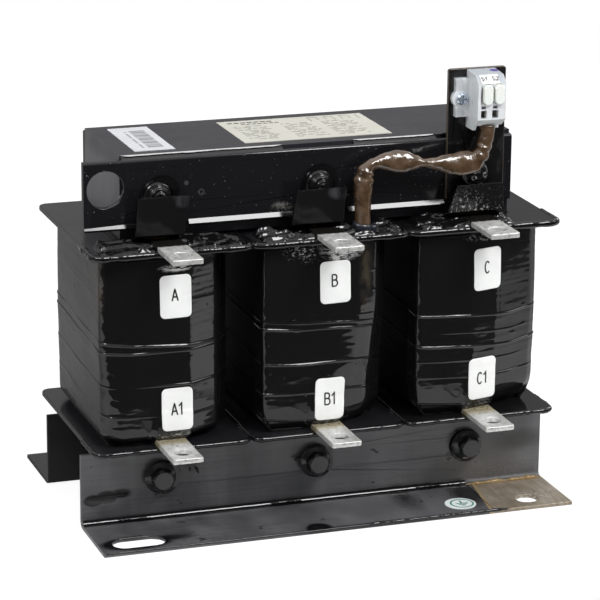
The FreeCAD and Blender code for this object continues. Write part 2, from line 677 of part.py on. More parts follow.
def block_end_plate():
    """End plate of the block with the lug that takes its screw."""
    left = BLOCK_LEFT - END_PLATE_THICKNESS
    body = side_profile(block_outline(END_PLATE_DROP), left, END_PLATE_THICKNESS)
    base = BLOCK_BASE + LUG_ABOVE_BLOCK_BASE
    lug = box((left - LUG_LENGTH, -PLATE_FACE - LUG_THICKNESS, base),
              (left, -PLATE_FACE, base + LUG_HEIGHT))
    x, y, z = screw_place()
    boss = rod((x, y - LUG_THICKNESS, z), (0, 1, 0), LUG_BOSS, LUG_THICKNESS)
    keep = box((x - LUG_BOSS, y - LUG_THICKNESS, z - LUG_BOSS), (left, y, z + LUG_BOSS))
    body = body.fuse(lug).fuse(boss.common(keep))
    hole = rod((x, y - LUG_THICKNESS, z), (0, 1, 0), SCREW_SIZE + 2 * SCREW_CLEARANCE, LUG_THICKNESS)
    return body.cut(hole).removeSplitter()


def block_screw():
    """Pan-head screw through the lug and the plate."""
    x, y, z = screw_place()
    seat = y - LUG_THICKNESS
    length = LUG_THICKNESS + PLATE_THICKNESS + SCREW_NUT_HEIGHT + SCREW_PAST_NUT
    face = seat - SCREW_HEAD_HEIGHT
    head = rod((x, face, z), (0, 1, 0), SCREW_HEAD, SCREW_HEAD_HEIGHT)
    rim = [edge for edge in head.Edges if edge.Vertexes[0].Point.y < face + 0.01]
    head = head.makeChamfer(SCREW_HEAD_HEIGHT / 3, rim[:1])
    reach = 0.35 * SCREW_HEAD
    for across, along in ((SCREW_SLOT / 2, reach), (reach, SCREW_SLOT / 2)):
        head = head.cut(box((x - across, face, z - along), (x + across, face + SCREW_SLOT_DEPTH, z + along)))
    return head.fuse(rod((x, seat, z), (0, 1, 0), SCREW_SIZE, length))


def block_screw_nut():
    """Nut of the block's screw behind the plate."""
    x, y, z = screw_place()
    nut = hexagon((x, -CLAMP_FACE, z), SCREW_NUT_FLATS, SCREW_NUT_HEIGHT)
    return nut.cut(rod((x, -CLAMP_FACE, z), (0, 1, 0), SCREW_SIZE, SCREW_NUT_HEIGHT))


def block_contacts():
    """Current bars on the right wall of each wire opening."""
    bars = []
    for place in pole_places():
        right = place - WIRE_HOLE_OFFSET + WIRE_HOLE_WIDTH / 2
        base = BLOCK_BASE + WIRE_HOLE_BOTTOM
        low = (right - CONTACT_THICKNESS, -BLOCK_FACE + CONTACT_SETBACK, base)
        bars.append(box(low, (right, -BLOCK_FACE + WIRE_HOLE_DEPTH, base + WIRE_HOLE_HEIGHT)))
    return Part.makeCompound(bars)


def marker_strip():
    """Marker strip clipped on the sloping face above the buttons."""
    low = (-BLOCK_FACE, BLOCK_BASE + BLOCK_CHAMFER_HEIGHT + BLOCK_FACE_HEIGHT)
    high = (low[0] + BLOCK_SLOPE_DEPTH, low[1] + BLOCK_SLOPE_HEIGHT)
    size = math.hypot(BLOCK_SLOPE_DEPTH, BLOCK_SLOPE_HEIGHT)
    out = (-BLOCK_SLOPE_HEIGHT / size * MARKER_THICKNESS, BLOCK_SLOPE_DEPTH / size * MARKER_THICKNESS)
    points = [low, high, (high[0] + out[0], high[1] + out[1]), (low[0] + out[0], low[1] + out[1])]
    return side_profile(points, BLOCK_LEFT, MARKER_WIDTH)


def sleeve_path():
    """Straight runs joined by the largest tangent arcs that both runs allow."""
    points = [vec(*point) for point in SLEEVE_ROUTE]
    edges = []
    radii = []
    start = points[0]
    for before, corner, after in zip(points, points[1:], points[2:]):
        back = (before - corner).normalize()
        ahead = (after - corner).normalize()
        half_turn = (math.pi - back.getAngle(ahead)) / 2
        setback = 0.45 * min((before - corner).Length, (after - corner).Length)
        radius = setback / math.tan(half_turn)
        first = corner + back * setback
        last = corner + ahead * setback
        towards = (back + ahead).normalize()
        middle = corner + towards * (radius / math.cos(half_turn) - radius)
        edges.append(Part.makeLine(start, first))
        edges.append(Part.Arc(first, middle, last).toShape())
        radii.append(round(radius, 1))
        start = last
    edges.append(Part.makeLine(start, points[-1]))
    return Part.Wire(edges), radii


def lead_sleeve():
    """Varnished sleeve over the switch leads, from the middle coil to the terminal block."""
    path, radii = sleeve_path()
    start = vec(*SLEEVE_ROUTE[0])
    heading = vec(*SLEEVE_ROUTE[1]) - start
    ring = Part.Wire(Part.makeCircle(SLEEVE_SIZE / 2, start, heading))
    body = path.makePipeShell([ring], True, False)
    section = math.pi * SLEEVE_SIZE ** 2 / 4
    print("sleeve arc radii", radii, "mm; length", round(path.Length, 1), "mm")
    print("sleeve volume over section times length", round(body.Volume / (section * path.Length), 4))
    return body


def cable_tie():
    """Cable tie round the foot of the sleeve, with its square head to the right."""
    x, y, z = SLEEVE_ROUTE[0]
    base = z + TIE_LIFT
    inner = SLEEVE_SIZE + 2 * TIE_CLEARANCE
    outer = inner + 2 * TIE_THICKNESS
    body = rod((x, y, base), (0, 0, 1), outer, TIE_WIDTH)
    head = box((x + inner / 2, y - TIE_HEAD / 2, base),
               (x + inner / 2 + TIE_HEAD, y + TIE_HEAD / 2, base + TIE_HEAD_HEIGHT))
    bore = rod((x, y, base), (0, 0, 1), inner, TIE_HEAD_HEIGHT)
    return body.fuse(head).cut(bore).removeSplitter()


def thermal_switch():
    """Thermal switch in the head of the middle winding, below the sleeve."""
    x, y, z = SLEEVE_ROUTE[0]
    front = y + SWITCH_SETBACK - SWITCH_DEPTH / 2
    low = (x - SWITCH_WIDTH / 2, front, WINDING_TOP - SWITCH_HEIGHT)
    return box(low, (x + SWITCH_WIDTH / 2, front + SWITCH_DEPTH, WINDING_TOP))


def marker_label(place, side, base):
    """Sticker with round corners on the front of a coil."""
    x = place + side
    face = -COIL_DEPTH / 2
    body = box((x - MARK_WIDTH / 2, face - STICKER_THICKNESS, base),
               (x + MARK_WIDTH / 2, face, base + MARK_HEIGHT))
    return round_edges(body, MARK_CORNER, "y")


def yoke_label(side, width, depth):
    """Sticker lying on top of the upper yoke."""
    return box((side - width / 2, -depth / 2, CORE_TOP),
               (side + width / 2, depth / 2, CORE_TOP + STICKER_THICKNESS))


def earth_label():
    """Round sticker on the front foot beside the bare earthing end."""
    y = -(FOOT_FACE + FOOT_REACH - EARTH_STICKER_FROM_EDGE)
    return rod((EARTH_STICKER_SIDE, y, FOOT_SHEET), (0, 0, 1), EARTH_STICKER, STICKER_THICKNESS)


def build():
    """All pieces by node name."""
    bore = BOLT_SIZE + 2 * BOLT_CLEARANCE
    pieces = {
        "yoke_lower": yoke(YOKE_BASE, LOWER_BOLT_HEIGHT),
        "yoke_upper": yoke(UPPER_YOKE_BASE, UPPER_BOLT_HEIGHT),
        "gap_spacers": gap_spacers(),
        "foot_bracket_front": foot_bracket(True),
        "foot_bracket_rear": turned(foot_bracket(False)),
        "clamp_bar_front": clamp_bar(),
        "clamp_bar_rear": turned(clamp_bar()),
        "lower_core_bolts": core_bolts(False),
        "upper_core_bolts": core_bolts(True),
        "core_nuts": core_nuts(),
        "steel_washers": rings(WASHER_SIZE, bore, WASHER_THICKNESS, PAD_THICKNESS),
        "insulating_washers": rings(PAD_SIZE, bore, PAD_THICKNESS, 0.0),
        "bolt_sleeves": bolt_sleeves(),
        "terminal_plate": terminal_plate(),
        "block_housing": block_housing(),
        "block_end_plate": block_end_plate(),
        "block_screw": block_screw(),
        "block_screw_nut": block_screw_nut(),
        "block_contacts": block_contacts(),
        "marker_strip": marker_strip(),
        "lead_sleeve": lead_sleeve(),
        "cable_tie": cable_tie(),
        "thermal_switch": thermal_switch(),
        "rating_label": yoke_label(RATING_SIDE, RATING_WIDTH, RATING_DEPTH),
        "code_label": yoke_label(CODE_SIDE, CODE_WIDTH, CODE_DEPTH),
        "earth_label": earth_label(),
    }
    for name, place in zip(("left", "right"), pole_places()):
        pieces["release_button_" + name] = release_button(place)
    for n, (name, place) in enumerate(zip(NAMES, LIMB_PLACES)):
        middle = place == 0.0
        head_face = HEAD_STACK + (PLATE_FACE if place == PLATE_PLACE else CLAMP_FACE)
        upper_mark = UPPER_FLANGE_BASE - UPPER_MARK_BELOW_FLANGE - MARK_HEIGHT
        lower_mark = LOWER_FLANGE_TOP + LOWER_MARK_ABOVE_FLANGE
        pieces["limb_" + name] = limb(place)
        pieces["former_" + name] = former(place, middle)
        pieces["winding_" + name] = winding(place, middle)
        pieces["tape_wrap_" + name] = tape_wrap(place)
        pieces["terminal_" + name] = upper_bar(place)
        pieces["terminal_" + name + "1"] = lower_bar(place)
        pieces["insulating_flap_" + name] = flap(place, head_face)
        pieces["label_" + name] = marker_label(place, UPPER_MARK_SIDE[n], upper_mark)
        pieces["label_" + name + "1"] = marker_label(place, LOWER_MARK_SIDE[n], lower_mark)
    return pieces


os.makedirs("parts", exist_ok=True)
for node, shape in build().items():
    shape.exportStep("parts/" + node + ".step")
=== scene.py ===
import math

import bpy
import numpy as np
from mathutils import Matrix, Vector, noise
from mathutils.bvhtree import BVHTree


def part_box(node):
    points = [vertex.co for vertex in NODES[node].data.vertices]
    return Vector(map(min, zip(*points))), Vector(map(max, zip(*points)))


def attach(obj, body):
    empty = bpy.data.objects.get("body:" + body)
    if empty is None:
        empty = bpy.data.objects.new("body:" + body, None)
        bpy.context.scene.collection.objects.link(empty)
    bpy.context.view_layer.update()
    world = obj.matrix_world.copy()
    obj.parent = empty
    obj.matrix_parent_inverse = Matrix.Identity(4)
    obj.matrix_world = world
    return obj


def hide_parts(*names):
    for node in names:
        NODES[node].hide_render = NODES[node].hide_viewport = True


MM = 0.001

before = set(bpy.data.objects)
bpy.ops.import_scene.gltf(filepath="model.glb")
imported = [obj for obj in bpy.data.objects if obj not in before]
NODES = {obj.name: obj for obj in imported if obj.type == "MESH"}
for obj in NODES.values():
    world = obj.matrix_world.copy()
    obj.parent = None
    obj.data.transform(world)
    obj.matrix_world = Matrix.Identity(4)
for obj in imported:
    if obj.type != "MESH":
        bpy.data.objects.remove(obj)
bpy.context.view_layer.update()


def box(name):
    """Lowest and highest corner of a CAD piece, in millimetres."""
    return tuple(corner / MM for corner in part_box(name))


def add_object(name, data):
    """New object in the scene."""
    made = bpy.data.objects.new(name, data)
    bpy.context.scene.collection.objects.link(made)
    return made


# Camera, matched to the photograph
CAMERA_AT = Vector((-0.46112, -1.33075, 0.50429))
CAMERA_TO = Vector((0.00221, 0.0, 0.09505))
CAMERA_ROLL = 0.5305
CAMERA_LENS = 177.13


def add_camera():
    """Camera at the photograph's place, with its small roll."""
    ahead = (CAMERA_TO - CAMERA_AT).normalized()
    side = ahead.cross(Vector((0, 0, 1))).normalized()
    up = side.cross(ahead)
    roll = math.radians(CAMERA_ROLL)
    across = side * math.cos(roll) + up * math.sin(roll)
    above = up * math.cos(roll) - side * math.sin(roll)
    data = bpy.data.cameras.new("camera")
    data.lens = CAMERA_LENS
    data.sensor_width = 36
    data.clip_start, data.clip_end = 0.05, 50
    camera = add_object("camera", data)
    camera.matrix_world = Matrix.Translation(CAMERA_AT) @ Matrix((across, above, -ahead)).transposed().to_4x4()
    bpy.context.scene.camera = camera


add_camera()


# Node trees
def rgba(color):
    """Colour, or grey level, as a socket takes it."""
    return (*color, 1) if hasattr(color, "__len__") else (color, color, color, 1)


def operator(name):
    """Method that makes a maths node of two values."""
    return lambda a, b: a.graph.node("Math", (a, b), operation=name)


class Value:
    """A node's output. With +, -, * and | (the larger of two) it goes into a next node."""

    __add__, __sub__, __mul__, __or__ = map(operator, ("ADD", "SUBTRACT", "MULTIPLY", "MAXIMUM"))

    def __init__(self, graph, socket):
        self.graph = graph
        self.socket = socket

    def __rsub__(self, other):
        return self.graph.node("Math", (other, self), operation="SUBTRACT")

    def range(self, low, high, to_low=0.0, to_high=1.0):
        """Mapped from one range to another, clamped."""
        inputs = {"Value": self, "From Min": low, "From Max": high, "To Min": to_low, "To Max": to_high}
        return self.graph.node("MapRange", inputs)

    def ramp(self, *stops):
        """Colour, or grey level, from (place, colour) stops."""
        made = self.graph.node("ValToRGB", {"Fac": self})
        points = made.socket.node.color_ramp.elements
        while len(points) < len(stops):
            points.new(0.5)
        for point, (at, color) in zip(points, stops):
            point.position = at
            point.color = rgba(color)
        return made


def largest(values):
    """Largest of several values."""
    made, *others = values
    for other in others:
        made |= other
    return made


class Graph:
    """A node tree that is built up by short calls."""

    def __init__(self, tree):
        self.tree = tree

    def feed(self, socket, value):
        """Number, colour or another node's output into a socket."""
        if isinstance(value, Value):
            self.tree.links.new(value.socket, socket)
        else:
            socket.default_value = rgba(value) if socket.type == "RGBA" else value

    def node(self, kind, inputs=(), output=0, **settings):
        """One output of a new node, with its settings and its inputs by name or in their order."""
        made = self.tree.nodes.new("ShaderNode" + kind)
        for key, value in settings.items():
            setattr(made, key, value)
        for key, value in inputs.items() if isinstance(inputs, dict) else enumerate(inputs):
            self.feed(made.inputs[key], value)
        return Value(self, made.outputs[output])

    def close(self, kind, surface):
        """The tree's last node."""
        self.feed(self.tree.nodes.new("ShaderNodeOutput" + kind).inputs[0], surface)

    def mix(self, share, a, b):
        """Colour between a and b."""
        return self.node("Mix", {0: share, 6: a, 7: b}, 2, data_type="RGBA")

    def layers(self, color, *rows):
        """Colour below several others, each (mask, colour)."""
        for mask, tone in rows:
            color = self.mix(mask, color, tone)
        return color

    def noise(self, scale, detail=3.0, rough=0.5, stretch=(1, 1, 1)):
        """Noise with a scale in features a metre."""
        where = self.node("Mapping", {"Vector": self.node("TexCoord", output="Object"), "Scale": stretch})
        return self.node("TexNoise", {"Vector": where, "Scale": scale, "Detail": detail, "Roughness": rough}, "Fac")

    def bump(self, height, distance):
        """Normal from a height."""
        return self.node("Bump", {"Height": height, "Distance": distance, "Strength": 1.0})

    def axis(self, name, kind="TexCoord", output="Object"):
        """One part of the object coordinates in metres, or of another vector."""
        return self.node("SeparateXYZ", (self.node(kind, output=output),), name)

    def spot(self, centre, half, soft=0.3):
        """1 inside an ellipsoid given by its centre and half sizes in millimetres, 0 outside."""
        where = self.node("TexCoord", output="Object")
        moved = self.node("VectorMath", (where, Vector(centre) * MM), operation="SUBTRACT")
        scaled = self.node("VectorMath", (moved, Vector(half) * MM), operation="DIVIDE")
        return self.node("VectorMath", (scaled,), "Value", operation="LENGTH").range(1 - soft, 1 + soft, 1.0, 0.0)

    def spots(self, *rows):
        """Several spots in one mask, each (centre, half sizes, softness)."""
        return largest(self.spot(*row) for row in rows)


SOCKETS = {
    "color": "Base Color", "rough": "Roughness", "metal": "Metallic", "normal": "Normal", "ior": "IOR",
    "coat": "Coat Weight", "coat_rough": "Coat Roughness", "level": "Specular IOR Level",
    "scatter": "Subsurface Weight",
}


class Shader(Graph):
    """A material with short names for the inputs of its main shader."""

    def __init__(self, name, **inputs):
        self.material = bpy.data.materials.new(name)
        self.material.use_nodes = True
        super().__init__(self.material.node_tree)
        self.set(**inputs)

    def set(self, **inputs):
        """Values or outputs into the main shader."""
        for key, value in inputs.items():
            self.feed(self.tree.nodes["Principled BSDF"].inputs[SOCKETS[key]], value)
        return self


# Materials
BLACK = (0.006, 0.006, 0.0065)
WET_BLACK = (0.004, 0.004, 0.0045)
FLAP_BLACK = (0.007, 0.007, 0.0075)
PALE_DUST = (0.2, 0.2, 0.19)
TAPE_STREAK = (1, 1, 2.4)


def shade(color, share):
    """Darker or lighter colour."""
    return tuple(share * part for part in color)


def varnish(name, color=BLACK, rough=(0.04, 0.14), wave=0.0006, wave_scale=45.0, streak=(1, 1, 1)):
    """Glossy varnish: slow waves, fine grain and specks in the film."""
    s = Shader(name, color=color, ior=1.5)
    slow = s.noise(wave_scale, 2.0, 0.45, streak)
    fine = s.noise(900.0, 2.0, 0.5)
    specks = s.noise(330.0, 1.0, 0.4).range(0.74, 0.80)
    return s.set(normal=s.bump(slow + fine * 0.03 + specks * 0.12, wave),
                 rough=s.noise(60.0, 4.0, 0.6, streak).range(0.3, 0.7, *rough))


def tape_material():
    """Varnished black tape with silver smears below the upper bars, partly aluminium and partly painted highlight, and
    a satin outer left side.
    """
    s = varnish("black_tape", wave=0.00030, wave_scale=50.0, streak=TAPE_STREAK)
    flecks = s.noise(1.0, 4.0, 0.75, (560, 560, 980)).range(0.54, 0.60) * s.noise(110.0, 2.0).range(0.40, 0.60)
    solid = s.noise(1.0, 4.0, 0.75, (240, 240, 900)).range(0.46, 0.52)
    speckled = s.spots(((-11, -51, 134.5), (9, 6, 4.5), 0.6), ((81, -50, 134.5), (9, 8, 2.2), 0.5),
                       ((-79, -50, 48.5), (9, 8, 2.4), 0.5), ((0, -50, 48.0), (10, 8, 2.2), 0.5),
                       ((81, -50, 48.0), (9, 8, 2.2), 0.5))
    filled = s.spots(((6, -51, 134.0), (9.0, 6, 4.6), 0.4), ((3.5, -51, 131), (3.0, 6, 3.0), 0.3),
                     ((-77.5, -51, 131.4), (6.5, 6, 1.5), 0.4))
    # Silver smears: light grey colour, partly aluminium showing and partly painted highlight of lumpy varnish.
    silver_and_highlight = speckled * flecks | filled * solid
    scratch = s.noise(1.0, 3.0, 0.6, (160, 160, 2600)).range(0.66, 0.72)
    brown = s.spots(((18.5, -48, 122), (2.6, 9, 14), 0.7), ((-113.5, -44, 126), (2.2, 9, 15), 0.7))
    brown *= s.noise(180.0, 3.0).range(0.35, 0.65)
    color = s.layers(BLACK, (s.noise(1300.0, 1.0, 0.5).range(0.86, 0.89), (0.25, 0.25, 0.24)),
                     (scratch * 0.12, 0.10), (brown, (0.046, 0.038, 0.025)),
                     (silver_and_highlight, (0.62, 0.62, 0.61)))
    side = s.axis("X").range(-0.1145, -0.1105, 0.30, 0.0)
    rough = s.noise(60.0, 4.0, 0.6, TAPE_STREAK).range(0.3, 0.7, 0.04, 0.12) | side | silver_and_highlight * 0.45
    return s.set(color=color, rough=rough, metal=silver_and_highlight * 0.3)


def clamp_material():
    """Mirror-black varnish with faint vertical streaks, two burst bubbles and a rubbed patch."""
    black, bubble = (0.008, 0.008, 0.0095), (-59.9, -35, 163.4)
    s = varnish("black_paint", black, (0.07, 0.16), 0.0003, 30.0)
    streaks = s.noise(1.0, 3.0, 0.6, (260, 40, 12)).range(0.62, 0.80)
    ring = s.spot(bubble, (1.5, 3, 1.6), 0.1) - s.spot(bubble, (0.9, 3, 1.0), 0.2)
    small = s.spot((-67.3, -35, 168.3), (1.1, 3, 1.1), 0.2)
    rub = s.spot((-19.5, -35, 153.4), (4.2, 3, 1.8), 0.5)
    rub *= s.noise(1.0, 3.0, 0.7, (700, 100, 500)).range(0.42, 0.62)
    return s.set(color=s.layers(
        black, (s.noise(1300.0, 1.0, 0.5).range(0.775, 0.805), (0.3, 0.3, 0.29)),
        (streaks * 0.35, (0.030, 0.030, 0.033)), ((ring | small) * 0.45, (0.10, 0.10, 0.11)),
        (rub * 0.5, (0.28, 0.27, 0.25))))


# Edges of the terminal plate: ranges of X at its left and right and of Z at its top, in metres
PLATE_LEFT, PLATE_RIGHT, PLATE_TOP = (0.0641, 0.0645), (0.0935, 0.0939), (0.2148, 0.2153)


def plate_material():
    """Varnish over the terminal plate, uneven and worn along its edges."""
    s = varnish("plate_paint", rough=(0.06, 0.2), wave=0.0004, wave_scale=60.0)
    x = s.axis("X")
    rim = x.range(*PLATE_LEFT, 1.0, 0.0) | s.axis("Z").range(*PLATE_TOP) | x.range(*PLATE_RIGHT)
    film = s.noise(90.0, 4.0, 0.65, (1, 1, 0.5)).range(0.50, 0.72)
    return s.set(color=s.layers(BLACK, (film * 0.5, 0.05), (rim * 0.6, (0.13, 0.10, 0.075))))


# Greys of the brushed paint from dark to light; then spots, each (centre, half sizes, softness)
FOOT_GREYS = ((0.38, (0.036, 0.036, 0.040)), (0.50, (0.064, 0.064, 0.069)), (0.62, (0.100, 0.100, 0.106)))
# Spots of glossy black varnish; the first three, on the web's left, are painted dark reflection.
WET_AND_REFLECTION_SPOTS = (
    ((-114, -35, 13.4), (5.5, 4, 3.4), 0.12), ((-107, -35, 14.6), (6.5, 4, 3.6), 0.12),
    ((-100, -35, 15.6), (6.0, 4, 2.8), 0.25), ((-12, -75, 2), (7, 9, 3), 0.12),
    ((-101.5, -65.0, 2), (17.5, 8.8, 3), 0.12), ((-86, -63.0, 2), (12, 3.5, 3), 0.4),
    ((20, -77.5, 2), (66, 4.2, 3), 0.3), ((0, -77.5, 2), (124, 2.0, 3), 0.5),
    ((42, -46, 2), (5, 11, 3), 0.9), ((74, -50, 2), (8, 17, 3), 0.5),
)
SAND_SPOTS = ((98, -35, 5), (24, 5, 6), 0.7), ((42, -35, 6), (9, 5, 5), 0.7)
# Border of the bare end: X where it starts and its slant, distance of its back from the limbs' plane, and how
# ragged and how soft it is, in metres
BARE_START, BARE_SLANT, BARE_BACK, BARE_RAGGED, BARE_SOFT = 0.0874, 0.1525, 0.0362, 0.0022, (-0.0001, 0.0002)


def painted_foot(name, coat, tone, painted_light_right):
    """Brushed black paint under varnish: its shader, colour and roughness, with painted light that makes it lighter
    towards the right.
    """
    s = Shader(name, ior=1.5, coat=coat, coat_rough=0.08)
    brush = s.noise(1.0, 4.0, 0.65, (22, 700, 900))
    grey = brush * 0.30 + s.noise(1.0, 3.0, 0.55, (38, 30, 9)) * 0.70
    s.set(normal=s.bump(brush * 0.12 + s.noise(38.0, 2.0, 0.45), 0.00035))
    # Painted light: the paint turns lighter grey towards the right end, by a given share.
    color = s.layers(grey.ramp(*((at, shade(color, tone)) for at, color in FOOT_GREYS)),
                     (s.axis("X").range(-0.07, 0.02) * painted_light_right, (0.12, 0.12, 0.128)),
                     (s.noise(230.0, 2.0, 0.5, (0.6, 1, 1)).range(0.70, 0.73), 0.004),
                     (s.noise(1100.0, 1.0, 0.5).range(0.80, 0.83), PALE_DUST))
    return s, color, brush.range(0.3, 0.7, 0.38, 0.5)


def bare_steel(s, edge):
    """Colour of sanded steel with rust, a white smear and golden varnish along its edge."""
    grain = s.noise(1.0, 4.0, 0.7, (500, 60, 60)) * 0.5 + s.noise(70.0, 4.0, 0.6) * 0.5
    white = s.spot((104, -61, 2), (9, 5, 3), 0.6) * s.noise(600.0, 4.0, 0.7).range(0.5, 0.62)
    steel = grain.ramp((0.35, (0.17, 0.135, 0.095)), (0.5, (0.28, 0.235, 0.18)), (0.65, (0.40, 0.35, 0.28)))
    return s.layers(steel, (s.noise(520.0, 3.0, 0.6).range(0.64, 0.72) * 0.7, (0.10, 0.065, 0.035)),
                    (white, (0.55, 0.54, 0.5)), (edge * 0.85, (0.46, 0.33, 0.16)))


def front_foot_material():
    """Painted foot with wet and sandy patches, painted dark reflection on the web's left, and a right end left bare
    for the earth bolt.
    """
    s, color, rough = painted_foot("black_paint_bare_end", 0.25, 1.12, 0.40)
    wet_and_dark_reflection = s.spots(*WET_AND_REFLECTION_SPOTS)
    sand = s.spots(*SAND_SPOTS) * s.noise(700.0, 4.0, 0.75).range(0.50, 0.60)
    color = s.layers(color, (s.spot((84, -35, 12), (23, 5, 10), 0.6) * 0.4, (0.15, 0.145, 0.125)),
                     (s.spot((109, -35, 22), (14, 5, 5.5), 0.4) * 0.8, (0.022, 0.020, 0.018)),
                     (sand * 0.45, (0.22, 0.18, 0.13)), (wet_and_dark_reflection, (0.004, 0.004, 0.005)))
    ragged = (s.noise(420.0, 4.0, 0.7) - 0.5) * BARE_RAGGED
    past = s.axis("X") + ragged - (s.axis("Y") * BARE_SLANT + BARE_START)
    ahead = s.axis("Y") * -1.0 - (ragged + BARE_BACK)
    bare = past.range(*BARE_SOFT) * ahead.range(*BARE_SOFT)
    edge = past.range(0.0, 0.0026, 1.0, 0.0) | ahead.range(0.0, 0.0020, 1.0, 0.0)
    return s.set(color=s.mix(bare, color, bare_steel(s, edge)), metal=bare * 0.45,
                 rough=rough * wet_and_dark_reflection.range(0.0, 1.0, 1.0, 0.16), coat=bare.range(0.0, 1.0, 0.25, 0.12))


def rear_foot_material():
    """Painted foot, plain, and darkened as painted shade."""
    # Painted shade: tone 0.12 makes this copy of the foot paint far darker than the front foot's.
    s, color, rough = painted_foot("black_paint_brushed_shaded", 0.1, 0.12, 0.05)
    return s.set(color=color, rough=rough)


def pool_material():
    """Wet varnish, with painted highlights on the third upper bolt's rim and marks."""
    head, marks = (77.9, -44, 164.2), ((76.2, 165.9), (75.8, 162.4), (81.6, 163.6))
    s = varnish("varnish_runs", WET_BLACK, (0.02, 0.08), 0.0003, 140.0)
    # Painted highlight: light grey rings on the third upper bolt's rim and round its three marks.
    rim = s.spot(head, (6.6, 20, 6.6), 0.06) - s.spot(head, (5.9, 20, 5.9), 0.12)
    sunk = largest(s.spot((x, -45, z), (1.15, 9, 1.25), 0.2) - s.spot((x, -45, z), (0.5, 9, 0.6), 0.4)
                   for x, z in marks)
    painted_highlight = (rim | sunk) * s.noise(420.0, 3.0, 0.6).range(0.42, 0.55)
    return s.set(color=s.mix(painted_highlight * 0.7, WET_BLACK, 0.42))


def board_material():
    """Varnished board with a painted sheen, a light grey patch, on the upper corners of two flaps."""
    s = varnish("flap_board", rough=(0.08, 0.2), wave=0.0003, wave_scale=60.0).set(level=0.2)
    # Painted sheen: light grey colour on the upper corners of two flaps.
    painted_sheen = s.spots(((-72.0, -46, 163), (5.5, 6, 3.4), 0.3), ((6.0, -46, 161), (5.0, 6, 3.2), 0.3))
    painted_sheen *= s.noise(1.0, 2.0, 0.5, (160, 60, 60)).range(0.38, 0.58)
    return s.set(color=s.mix(painted_sheen * 0.8, FLAP_BLACK, (0.055, 0.055, 0.06)))


def wet_board_material():
    """Wet board with pale crystals, most of them near its foot."""
    s = varnish("wet_board", rough=(0.10, 0.25), wave=0.0005, wave_scale=150.0)
    near = s.spots(((68, -46, 147), (11, 6, 8), 0.6), ((80, -46, 145), (14, 6, 4), 0.6)) | 0.06
    return s.set(color=s.mix(s.noise(620.0, 4.0, 0.8).range(0.57, 0.62) * near, FLAP_BLACK, (0.40, 0.40, 0.39)))


def core_material():
    """Core steel under varnish, with the sheets' lines; the yoke's left end is paler."""
    s = Shader("core_steel", ior=1.5)
    sheets = s.noise(1.0, 4.0, 0.6, (6, 900, 6))
    end = s.axis("X").range(-0.0990, -0.0986, 1.0, 0.0) * s.axis("Z").range(0.172, 0.178, 1.0, 0.3)
    color = s.layers(sheets.ramp((0.3, (0.008, 0.008, 0.012)), (0.7, (0.023, 0.022, 0.029))),
                     (end * 0.6, (0.16, 0.16, 0.172)), (s.noise(1100.0, 1.0, 0.5).range(0.78, 0.81), PALE_DUST))
    return s.set(color=color, normal=s.bump(sheets, 0.0002),
                 rough=s.noise(40.0, 4.0, 0.6).range(0.3, 0.7, 0.30, 0.44))


def bar_material():
    """Brushed aluminium: black varnish at its root, with a golden edge on the lower bars."""
    s = Shader("bar_aluminium", ior=1.5, coat=0.15, coat_rough=0.1)
    pits = s.noise(520.0, 4.0, 0.65)
    tone = s.noise(1.0, 3.0, 0.6, (1500, 160, 400)) * 0.4 + pits * 0.6
    root = s.axis("Y") + (s.noise(330.0, 4.0, 0.7) - 0.5) * 0.0045
    height = s.axis("Z")
    gold = root.range(-0.0585, -0.0545) * height.range(0.06, 0.07, 0.75, 0.0)
    black = root.range(-0.0550, -0.0536) * height.range(0.06, 0.07, 0.25, 1.0)
    base = tone.ramp((0.3, (0.40, 0.39, 0.36)), (0.5, (0.62, 0.62, 0.60)), (0.7, (0.80, 0.80, 0.79)))
    return s.set(color=s.layers(base, (gold, (0.46, 0.38, 0.20)), (black, (0.010, 0.0095, 0.008))),
                 rough=pits.range(0.3, 0.7, 0.25, 0.5) * black.range(0.0, 1.0, 1.0, 0.25),
                 metal=pits.range(0.3, 0.7, 0.55, 0.3) * black.range(0.0, 1.0, 1.0, 0.0),
                 normal=s.bump(tone, 0.00022))


def sleeve_material():
    """Brown varnished sleeving, with a painted reflection of the floor on its underside."""
    s = Shader("varnished_sleeve", ior=1.5, coat=0.8, coat_rough=0.04)
    lumps = s.noise(200.0, 3.0, 0.5)
    base = lumps.ramp((0.3, (0.036, 0.019, 0.009)), (0.5, (0.072, 0.042, 0.022)), (0.75, (0.115, 0.074, 0.046)))
    # Painted reflection: lighter colour where the normal points down.
    painted_floor_reflection = s.axis("Z", "NewGeometry", "Normal").range(-0.3, -0.85)
    return s.set(color=s.mix(painted_floor_reflection * 0.5, base, (0.15, 0.12, 0.095)), normal=s.bump(lumps, 0.0006),
                 rough=lumps.range(0.3, 0.7, 0.10, 0.26))


